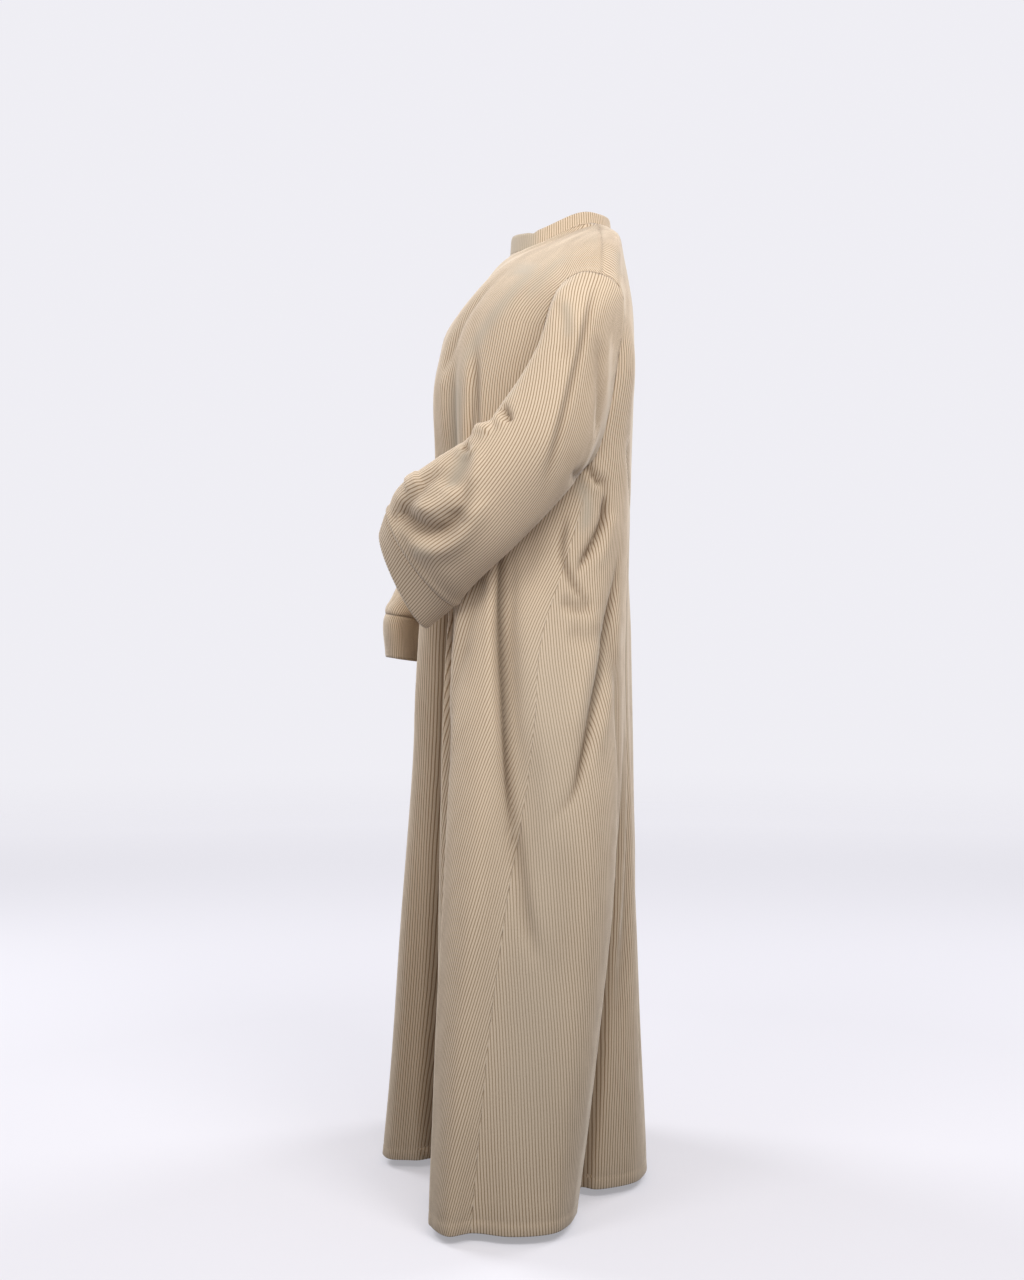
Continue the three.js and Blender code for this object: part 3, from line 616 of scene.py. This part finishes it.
# Where the cords are drawn flatter and the colour is painted a flat grey, which stands for the nap's sheen
# seen at a grazing angle and for shade: the side it is seen from, its line there, how wide it is, and how
# strong it is.
BODY_GREY_PATCHES = [
    ("left", [(-52, -75), (-70, -95)], 16, 0.75),
    ("left", [(-30, -70), (-75, -120), (-120, -175), (-158, -230)], 10, 0.6),
    ("left", [(-158, -215), (-160, -300), (-160, -430)], 9, 0.9),
    ("left", [(-25, -480), (-30, -800), (-45, -1100), (-55, -1420)], 70, 0.38),
    ("left", [(16, -65), (-20, -90), (-60, -140)], 9, 0.4),
    ("left", [(75, -60), (88, -110)], 14, 0.5),
    ("left", [(15, -385), (30, -430), (22, -470)], 9, 0.7),
    ("left", [(-92, -500), (-88, -640), (-80, -780)], 5, 0.5),
    ("left", [(60, -560), (48, -650), (22, -740)], 8, 0.4),
]
PANEL_EDGE = -0.3  # its creases end before its outline
PANEL_WAVES = (0.16, 0.0012, 3)  # their size, height and seed
# Over how far creases die out: beside the armhole, down from the neck and shoulders, and how far below the
# underarm they are free right up to the side seam, in millimetres as all the sizes down to the hem's are.
HELD = {"beside": 20, "under": 45, "below": 30}
SEAM_DENT, STITCH_DENT = (0.4, 3), (0.5, 2.5)  # depth and width
HEM_DEPTH = 20
HEM_STITCH = HEM - 17
CALF = 900  # below it the rows lie further apart
PANEL_ROWS = np.unique(np.concatenate([
    np.linspace(0, UNDERARM, 34), np.linspace(UNDERARM, CALF, 60), np.linspace(CALF, HEM - HEM_DEPTH, 27),
    (HEM_STITCH - 3, HEM_STITCH, HEM_STITCH + 3, HEM - 1.5)]))
PANEL_SHARES = np.linspace(-1, 1, 301)
# How much wider apart than usual the cords are pulled, down the cloth.
CORD_PULL = {
    "front": [(0, 1.4), (100, 1.28), (200, 1.16), (UNDERARM, 1.06), (700, 1.04), (HEM, 0.94)],
    "back": [(0, 1.3), (100, 1.2), (200, 1.08), (UNDERARM, 0.98), (HEM, 1.1)],
}
# Where the cloth turns up inside the hem: how far above its edge, and how far in from its outer face.
TURN_UP = [(0.45, 0.45), (0, 1.55), (0.45, 2.65), (1.5, 3.1), (HEM_DEPTH, 3.1)]


def across_seams(panel, share, along):
    """Points of a panel, and past its seams those of the panel that it is sewn to."""
    other = "back" if panel == "front" else "front"
    inside = np.clip(share, -1, 1)
    if along < 0:
        straight = 2 * panel_at(panel, inside, 0) - panel_at(panel, inside, -along)
        sewn = panel_at(other, inside, -along)
        return np.where((np.abs(share) < NECK_SHARE)[:, None], straight, sewn)
    made = panel_at(panel, inside, along)
    past = np.abs(share) > 1
    if along >= UNDERARM and past.any():
        made[past] = panel_at(other, np.sign(share[past]) * (2 - np.abs(share[past])), along)
    return made


def panel_points(panel, along, share):
    """Points and outward normals of a panel along one row of the cloth."""
    step_share, step_along = 0.004, 3
    below, above = min(along + step_along, HEM), along - step_along
    down = across_seams(panel, share, below) - across_seams(panel, share, above)
    across = across_seams(panel, share + step_share, along) - across_seams(panel, share - step_share, along)
    normal = np.cross(down, across) * (1 if panel == "front" else -1)
    return panel_at(panel, share, along), normal / np.linalg.norm(normal, axis=1, keepdims=True)


def panel_piece(panel):
    alongs = np.concatenate([PANEL_ROWS, [HEM - up for up, _ in TURN_UP]])
    inward = np.concatenate([np.zeros(len(PANEL_ROWS)), [depth * MM for _, depth in TURN_UP]])[:, None]
    # How far each share lies from the centre of its row, so that the cords stay equally far apart.
    lengths = [running(panel_at(panel, PANEL_SHARES, along)) for along in alongs]
    lengths = np.array([length - length[len(PANEL_SHARES) // 2] for length in lengths])
    lengths /= np.interp(alongs, *zip(*CORD_PULL[panel]))[:, None]
    columns, depths = cord_columns(np.abs(lengths).max())
    rows = [panel_points(panel, along, np.interp(columns, length, PANEL_SHARES))
            for along, length in zip(alongs, lengths)]
    points, normals = (np.array(part) for part in zip(*rows))
    moved, hollow, flat_and_painted_grey = worked(points, normals, BODY_CREASES, PANEL_EDGE, PANEL_WAVES, BODY_GREY_PATCHES)
    to_seam = np.maximum(np.minimum(lengths[:, -1:] - columns, columns - lengths[:, :1]), 0)
    below = smooth((alongs - UNDERARM) / HELD["below"])[:, None]
    free = below + (1 - below) * smooth(to_seam / (HELD["beside"] * MM))
    free *= smooth(alongs / HELD["under"])[:, None]
    moved *= free
    # The painted crease shade fades out along with the creases.
    hollow *= free
    moved -= SEAM_DENT[0] * MM * fading(to_seam, SEAM_DENT[1] * MM)
    stitched = fading(alongs - HEM_STITCH, STITCH_DENT[1])[:, None] * (inward == 0)
    moved -= STITCH_DENT[0] * MM * stitched
    cords = relief(depths, to_seam, flat_and_painted_grey)
    moved += np.where(inward < CLOTH, cords, -cords) - inward
    across = np.clip(columns, lengths[:, :1], lengths[:, -1:])
    return cloth_piece(panel, points + normals * moved[..., None], across, alongs[:, None] * MM,
                       flat_and_painted_grey, hollow, flipped=panel == "back")


# The ridges' own colour, and the painted shade between the cords.
CREST, PAINTED_GROOVE_SHADE = (0.660, 0.533, 0.396, 1), (0.310, 0.212, 0.124, 1)
# The flat grey is painted sheen and shade; the colour multiplied into crease hollows is painted shade.
PAINTED_GREY_NAP, PAINTED_CREASE_SHADE = (0.460, 0.398, 0.312, 1), (0.26, 0.21, 0.17, 1)
RIDGE = (0.06, 0.25)  # how far from the middle of a groove a ridge starts and is full, in cords
# The nap's grain: its scale each way, and its detail. Fibres lie along the cords, the cords stray a little
# from their line, and broad patches are paler or darker.
FIBRE, STRAY, PATCH = ((1300, 380, 1), 3), ((55, 30, 1), 1), ((9, 9, 5), 2)
STRAY_BY = 0.3  # cords
FIBRE_SHADE, PATCH_SHADE, DARKEST_PATCH = 0.34, 0.16, 0.92
FIBRE_HEIGHT, NAP_HEIGHT, NAP_STRENGTH = 0.3, 0.35 * MM, 0.6
NAP = [("Roughness", 0.92), ("Specular IOR Level", 0.15), ("Sheen Weight", 0.35), ("Sheen Roughness", 0.45),
       ("Sheen Tint", (1, 0.96, 0.91, 1))]


def cord_cloth(name):
    """Beige cotton cord: pale napped ridges, with shade painted warmer and darker between them, and an
    uneven nap. It also paints a flat grey for sheen and shade, and shade into crease hollows.
    """
    material, tree = bare_material(name)
    places = node(tree, "ShaderNodeTexCoord").outputs
    cut, place = places["UV"], places["Object"]

    def math_of(operation, *values):
        return node(tree, "ShaderNodeMath", list(enumerate(values)), operation=operation).outputs[0]

    def grain(source, scale, detail):
        scaled = node(tree, "ShaderNodeMapping", [("Vector", source), ("Scale", scale)]).outputs[0]
        noise = [("Vector", scaled), ("Scale", 1), ("Detail", detail)]
        return node(tree, "ShaderNodeTexNoise", noise).outputs[0]

    fibre, stray, patch = grain(cut, *FIBRE), grain(cut, *STRAY), grain(place, *PATCH)
    across = node(tree, "ShaderNodeSeparateXYZ", [(0, cut)]).outputs[0]
    cords = math_of("MULTIPLY_ADD", across, 1 / CORD, 0.5)
    strayed = math_of("MULTIPLY_ADD", math_of("SUBTRACT", stray, 0.5), STRAY_BY, cords)
    beside = math_of("ABSOLUTE", math_of("SUBTRACT", math_of("FRACT", strayed), 0.5))
    slope = [("Value", beside), ("From Min", RIDGE[0]), ("From Max", RIDGE[1])]
    ridge = node(tree, "ShaderNodeMapRange", slope, interpolation_type="SMOOTHSTEP").outputs[0]
    # Where this attribute is high, the colour is painted a flat grey for sheen and shade.
    flat_and_painted_grey = node(tree, "ShaderNodeAttribute", attribute_name="flat_and_painted_grey").outputs["Fac"]
    colour = mixed(tree, flat_and_painted_grey, mixed(tree, ridge, PAINTED_GROOVE_SHADE, CREST), PAINTED_GREY_NAP)
    shade = math_of("MULTIPLY_ADD", math_of("SUBTRACT", fibre, 0.5), FIBRE_SHADE,
                    math_of("MULTIPLY_ADD", patch, PATCH_SHADE, DARKEST_PATCH))
    colour = mixed(tree, 1, colour, shade, blend_type="MULTIPLY")
    # Painted shade in the hollows of drawn-in creases, multiplied into the colour.
    hollow = node(tree, "ShaderNodeAttribute", attribute_name="hollow").outputs["Fac"]
    colour = mixed(tree, hollow, colour, PAINTED_CREASE_SHADE, blend_type="MULTIPLY")
    standing = math_of("MULTIPLY", ridge, math_of("SUBTRACT", 1, flat_and_painted_grey))
    height = math_of("MULTIPLY_ADD", fibre, FIBRE_HEIGHT, standing)
    raised = [("Height", height), ("Strength", NAP_STRENGTH), ("Distance", NAP_HEIGHT)]
    nap = node(tree, "ShaderNodeBump", raised).outputs[0]
    pile = node(tree, "ShaderNodeBsdfPrincipled", [("Base Color", colour), ("Normal", nap)] + NAP)
    node(tree, "ShaderNodeOutputMaterial", [("Surface", pile.outputs[0])])
    return material


cord = cord_cloth("cord_cloth")
PANEL_CUT = {"front": ((0.91, 1.435), 1.04, "back"), "back": ((1.0, 1.435), 0.95, "front")}
for panel, (flat, area, sewn_to) in PANEL_CUT.items():
    piece = panel_piece(panel)
    piece.data.materials.append(cord)

# ---------------------------------------------------------------------------------------- collar
# A low standing band round the neck, two layers of the cord cloth folded at the top, with its cords upright.
# It is taller in front, and sewn to the necklines of front and back. Its front, which turns away from the
# light, is painted grey as shade.
# Heights of its edge, how far that leans in, where the band starts, and its cloth's length, in millimetres.
COLLAR = {"front": 29, "side": 21, "back": 16, "lean": 2, "seat": -1.5, "cloth": 60}
COLLAR_DIP = {"depth": 2.6, "at": -46, "width": 5}  # where the stiff front turns into the side, on the left
COLLAR_PAINTED_GREY = {"most": 0.75, "from": 0.35, "over": 0.3}  # painted grey on its front, which turns away from the light: at most, and where it starts and over how far, from its middle (0) forwards (1)
COLLAR_ROWS = np.linspace(0, 1, 9)
BAND = 2.8  # its layers together
FOLD = (0.2, 0.5, 0.8)  # where the rows over its fold lie between its faces


def folded_band(outer, outward):
    """Rows of a band folded at its last row: up its outer face, over the fold, back inside and closed."""
    fold = [outer[-1] - outward[-1] * BAND * MM * depth for depth in FOLD]
    inside = (outer - outward * BAND * MM)[::-1]
    return np.concatenate([outer[:-1], fold, inside[1:], outer[:1]])


def collar():
    """The band, its cords at equal distances round the neck from centre front."""
    angles = np.linspace(0, 2 * math.pi, 2 * 360 + 1)
    neckline = neck_at(angles)
    neckline[angles > math.pi, 0] *= -1
    run = running(neckline)
    cords = round(run[-1] / CORD)
    places = np.concatenate([(np.arange(cords) + at) / cords for at, _ in CORD_SHAPE])
    depths = np.concatenate([np.full(cords, depth) for _, depth in CORD_SHAPE])
    order = np.argsort(places)
    places, depths = np.append(places[order], 1), np.append(depths[order], depths[order][0])
    base = np.stack([np.interp(places * run[-1], run, neckline[:, i]) for i in range(3)], -1)
    backwards = (base[:, 1] - NECK["middle"]) / NECK["half_depth"]
    end = np.where(backwards < 0, COLLAR["front"], COLLAR["back"])
    tall = (COLLAR["side"] + (end - COLLAR["side"]) * np.abs(backwards)) * MM
    dip = fading(base[:, 1] - COLLAR_DIP["at"] * MM, COLLAR_DIP["width"] * MM) * (base[:, 0] > 0)
    tall -= COLLAR_DIP["depth"] * MM * dip
    outward = np.stack([base[:, 0], base[:, 1] - NECK["middle"], np.zeros(len(base))], -1)
    outward /= np.linalg.norm(outward, axis=1, keepdims=True)
    height = COLLAR_ROWS[:, None, None]
    rise = tall[:, None] * (0, 0, 1) * height + (0, 0, COLLAR["seat"] * MM)
    outer = base + rise - outward * COLLAR["lean"] * MM * height
    outer = outer + outward * CORD_DEPTH * depths[:, None]
    grid = folded_band(outer, np.broadcast_to(outward, outer.shape))
    down = np.linspace(0, COLLAR["cloth"] * MM, len(grid))[:, None]
    # Its front turns away from the light, so it is painted grey as shade.
    flat_and_painted_grey = smooth((-backwards - COLLAR_PAINTED_GREY["from"]) / COLLAR_PAINTED_GREY["over"])
    return cloth_piece("collar", grid, places * cords * CORD, down, COLLAR_PAINTED_GREY["most"] * flat_and_painted_grey, 0.0,
                       flipped=True, thickness=0)


piece = collar()
piece.data.materials.append(cord)

# ---------------------------------------------------------------------------------------- sleeves
# Two wide tubes of the cord cloth, sewn into low armholes. Their cords run along the arm and the seam lies
# under it. The cloth buckles at the elbow, and falls over the forearm in a deep soft fold.
SLEEVES = {  # stations down the arm: x, y, z of the outer side, front, inner side and back
    "left": {
        "cap": [(262, 27, -160), (236, -26, -178), (205, 24, -368), (228, 66, -208)],
        "upper arm": [(280, 6, -235), (245, -51, -243), (209, 6, -376), (238, 52, -285)],
        "elbow": [(292, -42, -338), (238, -113, -319), (210, -40, -388), (240, 22, -380)],
        "forearm": [(280, -137, -430), (225, -177, -361), (206, -112, -412), (240, -64, -477)],
        "wrist": [(244, -197, -476), (188, -234, -398), (168, -180, -466), (214, -130, -541)],
        "cuff seam": [(208, -220, -507), (164, -253, -430), (146, -196, -492), (186, -156, -567)],
        "cuff edge": [(175, -243, -535), (141, -265, -460), (122, -218, -525), (154, -197, -599)],
    },
    "right": {
        "cap": [(-262, 25, -160), (-236, -24, -178), (-205, 25, -368), (-228, 68, -208)],
        "upper arm": [(-282, 5, -238), (-248, -48, -246), (-209, 10, -376), (-240, 56, -288)],
        "elbow": [(-296, -38, -350), (-245, -100, -335), (-212, -35, -392), (-245, 28, -392)],
        "forearm": [(-280, -120, -440), (-232, -176, -400), (-196, -116, -440), (-238, -62, -482)],
        "wrist": [(-232, -190, -515), (-180, -238, -490), (-128, -205, -520), (-180, -160, -547)],
        "cuff seam": [(-222, -243, -581), (-143, -276, -573), (-66, -256, -576), (-147, -217, -583)],
        "cuff edge": [(-210, -243, -648), (-132, -275, -642), (-62, -255, -644), (-136, -218, -650)],
    },
}
ARMHOLE_STEPS = (0, 25, 50, 100, 150, 200, 250, 300, 348, UNDERARM)  # along the cloth, from the shoulder


def station_at(row, turns):
    """The ring of a station: 0 is its outer side, 0.25 its front, 0.5 its inner side and 0.75 its back."""
    outer, front_side, inner, back_side = np.array(row, float) * MM
    angle = turns[:, None] * 2 * math.pi
    middle = (outer + front_side + inner + back_side) / 4
    squash = (front_side + back_side - outer - inner) / 4
    across, along = (outer - inner) / 2, (front_side - back_side) / 2
    return middle + across * np.cos(angle) + along * np.sin(angle) - squash * np.cos(2 * angle)


def sleeve_rings(side, turns):
    """Points of every station of a sleeve at these turns, the armhole first."""
    down = np.where(turns <= 0.5, turns * 2, 2 - turns * 2)
    along = np.interp(down * (len(ARMHOLE_STEPS) - 1), np.arange(len(ARMHOLE_STEPS)), ARMHOLE_STEPS)
    front, back = (armhole_at(panel, side, along) for panel in ("front", "back"))
    armhole = np.where((turns <= 0.5)[:, None], front, back)
    return np.array([armhole] + [station_at(row, turns) for row in SLEEVES[side].values()])


def tube_at(side, turns, station):
    rings = sleeve_rings(side, turns)
    return through(np.arange(len(rings)), rings, station)[0]


SLEEVE_WIDTH = {  # half the width of the cut sleeve at each station, the armhole first
    "left": [0.290, 0.272, 0.238, 0.230, 0.230, 0.222, 0.216, 0.206],
    "right": [0.290, 0.272, 0.232, 0.212, 0.202, 0.192, 0.190, 0.184],
}
# How far the cords drift towards the back of the arm at each station: at its outer side, and at the seam.
SLEEVE_DRIFT = {
    "left": [(0, 0), (-8, -4), (-24, -10), (-50, -18), (-76, -26), (-80, -30), (-78, -32), (-76, -33)],
    "right": [(0, 0), (-6, -3), (-16, -8), (-30, -14), (-42, -18), (-50, -22), (-54, -24), (-56, -25)],
}
SLEEVE_CREASES = {  # listed as the body's are
    "left": [
        # The long groove down the back of the upper arm, with a ridge in front of it.
        ("left", [(42, -110), (30, -166), (17, -221), (-4, -302), (-24, -377), (-37, -430)], 6, -5),
        ("left", [(58, -125), (46, -180), (30, -250), (10, -330), (-12, -400)], 18, -4),
        ("left", [(28, -118), (14, -200), (-22, -330), (-44, -410)], 10, 3),
        ("left", [(-16, -143), (-1, -199), (-6, -250)], 9, -3),
        # The elbow: a sharp nick, then a knob standing out, and a fold under it.
        ("left", [(-90, -295), (-84, -306), (-77, -320)], 4.5, -8),
        ("left", [(-101, -303), (-88, -326)], 6, 4),
        ("left", [(-134, -324), (-118, -325), (-106, -334)], 9, 8),
        ("left", [(-148, -350), (-135, -346)], 7, -7),
        ("left", [(-140, -350), (-152, -382), (-167, -412)], 15, -8),
        ("left", [(-125, -355), (-128, -385), (-140, -425)], 8, 4),
        # The forearm: a deep swag between two fat ridges.
        ("left", [(-228, -395), (-205, -390)], 18, 5),
        ("left", [(-215, -425), (-188, -436), (-167, -425), (-154, -398)], 11, 5),
        ("left", [(-244, -428), (-217, -452), (-194, -466), (-173, -467), (-154, -453), (-140, -432)],
         13, -14),
        ("left", [(-160, -460), (-142, -430), (-130, -391)], 10, -4),
        ("left", [(-228, -474), (-201, -490), (-174, -490), (-149, -476), (-126, -445), (-112, -410)],
         15, 7),
        ("front", [(256, -372), (232, -420), (200, -455)], 11, -7),
        ("front", [(262, -300), (240, -318)], 6, -5),
        ("back", [(262, -190), (252, -280), (240, -345)], 10, -6),
        ("back", [(222, -382), (240, -392), (256, -380)], 6, -6),
    ],
    "right": [
        ("right", [(40, -120), (26, -200), (4, -290), (-24, -380), (-46, -430)], 10, -3),
        ("right", [(-80, -320), (-72, -338), (-58, -350)], 6, -4),
        ("right", [(-110, -372), (-78, -378), (-40, -368)], 9, -4),
        ("right", [(-214, -470), (-190, -490), (-160, -492), (-130, -470), (-112, -432), (-104, -390)],
         13, -8),
        ("right", [(-218, -505), (-185, -520), (-150, -508), (-116, -462)], 15, 5),
        ("front", [(-262, -400), (-238, -452), (-200, -496), (-158, -520)], 11, -8),
        ("front", [(-268, -330), (-246, -346)], 6, -5),
        ("front", [(-216, -490), (-182, -545), (-170, -600)], 12, 4),
        ("back", [(-264, -190), (-254, -280), (-242, -345)], 10, -6),
        ("back", [(-224, -386), (-242, -396), (-258, -384)], 6, -6),
    ],
}
# Patches of painted grey, for sheen and shade, listed as the body's are.
SLEEVE_GREY_PATCHES = {
    "left": [
        ("left", [(-5, -145), (0, -175), (-2, -210)], 8, 0.5),
        ("left", [(-140, -345), (-152, -380), (-167, -412)], 11, 0.85),
        ("left", [(-60, -235), (-90, -290)], 8, 0.5),
        ("left", [(-215, -488), (-180, -495)], 9, 0.4),
    ],
    "right": [
        ("right", [(-8, -150), (-4, -215)], 8, 0.5),
        ("right", [(-140, -385), (-160, -430)], 10, 0.7),
    ],
}
SLEEVE_ROWS = np.linspace(0, 6, 97)  # in stations, from the armhole to the cuff's seam
SLEEVE_EDGE = 0.6  # its creases run on past its outline
SLEEVE_WAVES = (0.12, 0.0012)
SLEEVE_HELD = 0.3  # stations from either end over which its creases die out
UNDERARM_DENT, END_DENT = (0.8, 4), (1.2, 0.04)  # depth, and width, which is in stations at an end
FULLNESS = {"out": 2.2, "at": 0.14, "width": 0.12}  # where it is gathered above the cuff
STATION = 0.09  # the cloth from one station to the next


def tube_grid(side, stations):
    """A sleeve's cords at these stations: how far across the cloth each column lies and how deep, half the
    cloth's width, and points and outward normals."""
    columns, depths = cord_columns(max(SLEEVE_WIDTH[side]))
    places = np.arange(len(SLEEVE_WIDTH[side]))
    half = np.interp(stations, places, SLEEVE_WIDTH[side])
    drift = through(places, np.array(SLEEVE_DRIFT[side], float) * MM, stations)
    turns = np.linspace(-0.5, 1.5, 401)  # two turns, because the cords drift past the seam
    step, turned = 0.02, 0.003
    points, normals = [], []
    for station, width, (outer, inner) in zip(stations, half, drift):
        run = running(tube_at(side, turns % 1, station))
        run -= np.interp(0, turns, run)
        share = np.clip(columns / width, -1, 1)
        whole = np.interp(1, turns, run)
        ahead, behind = np.interp(0.5, turns, run), -np.interp(-0.5, turns, run)
        place = np.where(share > 0, share * ahead, share * behind)
        place += inner + (outer - inner) * np.cos(share * math.pi / 2) ** 2
        turn = np.interp(place % whole, run, turns) % 1
        low, high = max(station - step, 0), min(station + step, places[-1])
        down = tube_at(side, turn, high) - tube_at(side, turn, low)
        after, before = (turn + turned) % 1, (turn - turned) % 1
        around = tube_at(side, after, station) - tube_at(side, before, station)
        normal = np.cross(around, down) * (1 if side == "left" else -1)
        points.append(tube_at(side, turn, station))
        normals.append(normal / np.linalg.norm(normal, axis=1, keepdims=True))
    return columns, depths, half[:, None], np.array(points), np.array(normals)


def sleeve(side, seed):
    columns, depths, half, points, normals = tube_grid(side, SLEEVE_ROWS)
    waves = (*SLEEVE_WAVES, seed)
    moved, hollow, flat_and_painted_grey = worked(points, normals, SLEEVE_CREASES[side], SLEEVE_EDGE, waves,
                                    SLEEVE_GREY_PATCHES[side])
    stations = SLEEVE_ROWS[:, None]
    to_end = np.minimum(stations, stations[-1] - stations)
    to_seam = np.maximum(half - np.abs(columns), 0)
    moved *= smooth(to_end / SLEEVE_HELD)
    moved -= UNDERARM_DENT[0] * MM * fading(to_seam, UNDERARM_DENT[1] * MM)
    lower = stations > stations[-1] / 2
    moved += FULLNESS["out"] * MM * lower * fading(to_end - FULLNESS["at"], FULLNESS["width"])
    moved -= END_DENT[0] * MM * fading(to_end, END_DENT[1])
    moved += relief(depths, to_seam, flat_and_painted_grey)
    return cloth_piece("sleeve_" + side, points + normals * moved[..., None], np.clip(columns, -half, half),
                       stations * STATION, flat_and_painted_grey, hollow, flipped=side == "left")


for side, seed, area in (("left", 21, 0.157), ("right", 34, 0.171)):
    piece = sleeve(side, seed)
    piece.data.materials.append(cord)

# ---------------------------------------------------------------------------------------- cuffs
# A deep band at each wrist, two layers of the cord cloth folded at the edge, with its cords along the arm.
# It is sewn to the end of the sleeve, and drawn in along that seam.
CUFF_ROWS = np.linspace(6, 7, 16)  # in stations, on from the sleeve's
CUFF_DENT = (1.6, 0.06)  # depth, and width in stations
CUFF_CLOTH = 0.13  # from its seam over its edge and back inside


def cuff(side):
    columns, depths, half, points, normals = tube_grid(side, CUFF_ROWS)
    to_seam = np.maximum(half - np.abs(columns), 0)
    to_end = (CUFF_ROWS - CUFF_ROWS[0])[:, None]
    moved = relief(depths, to_seam, 0) - CUFF_DENT[0] * MM * fading(to_end, CUFF_DENT[1])
    grid = folded_band(points + normals * moved[..., None], normals)
    down = np.linspace(0, 1, len(grid))[:, None] * CUFF_CLOTH
    return cloth_piece("cuff_" + side, grid, np.clip(columns, -half[0], half[0]), down, 0.0, 0.0,
                       flipped=side == "left", thickness=0)


for side, flat in (("left", (0.36, 0.05)), ("right", (0.35, 0.07))):
    piece = cuff(side)
    piece.data.materials.append(cord)
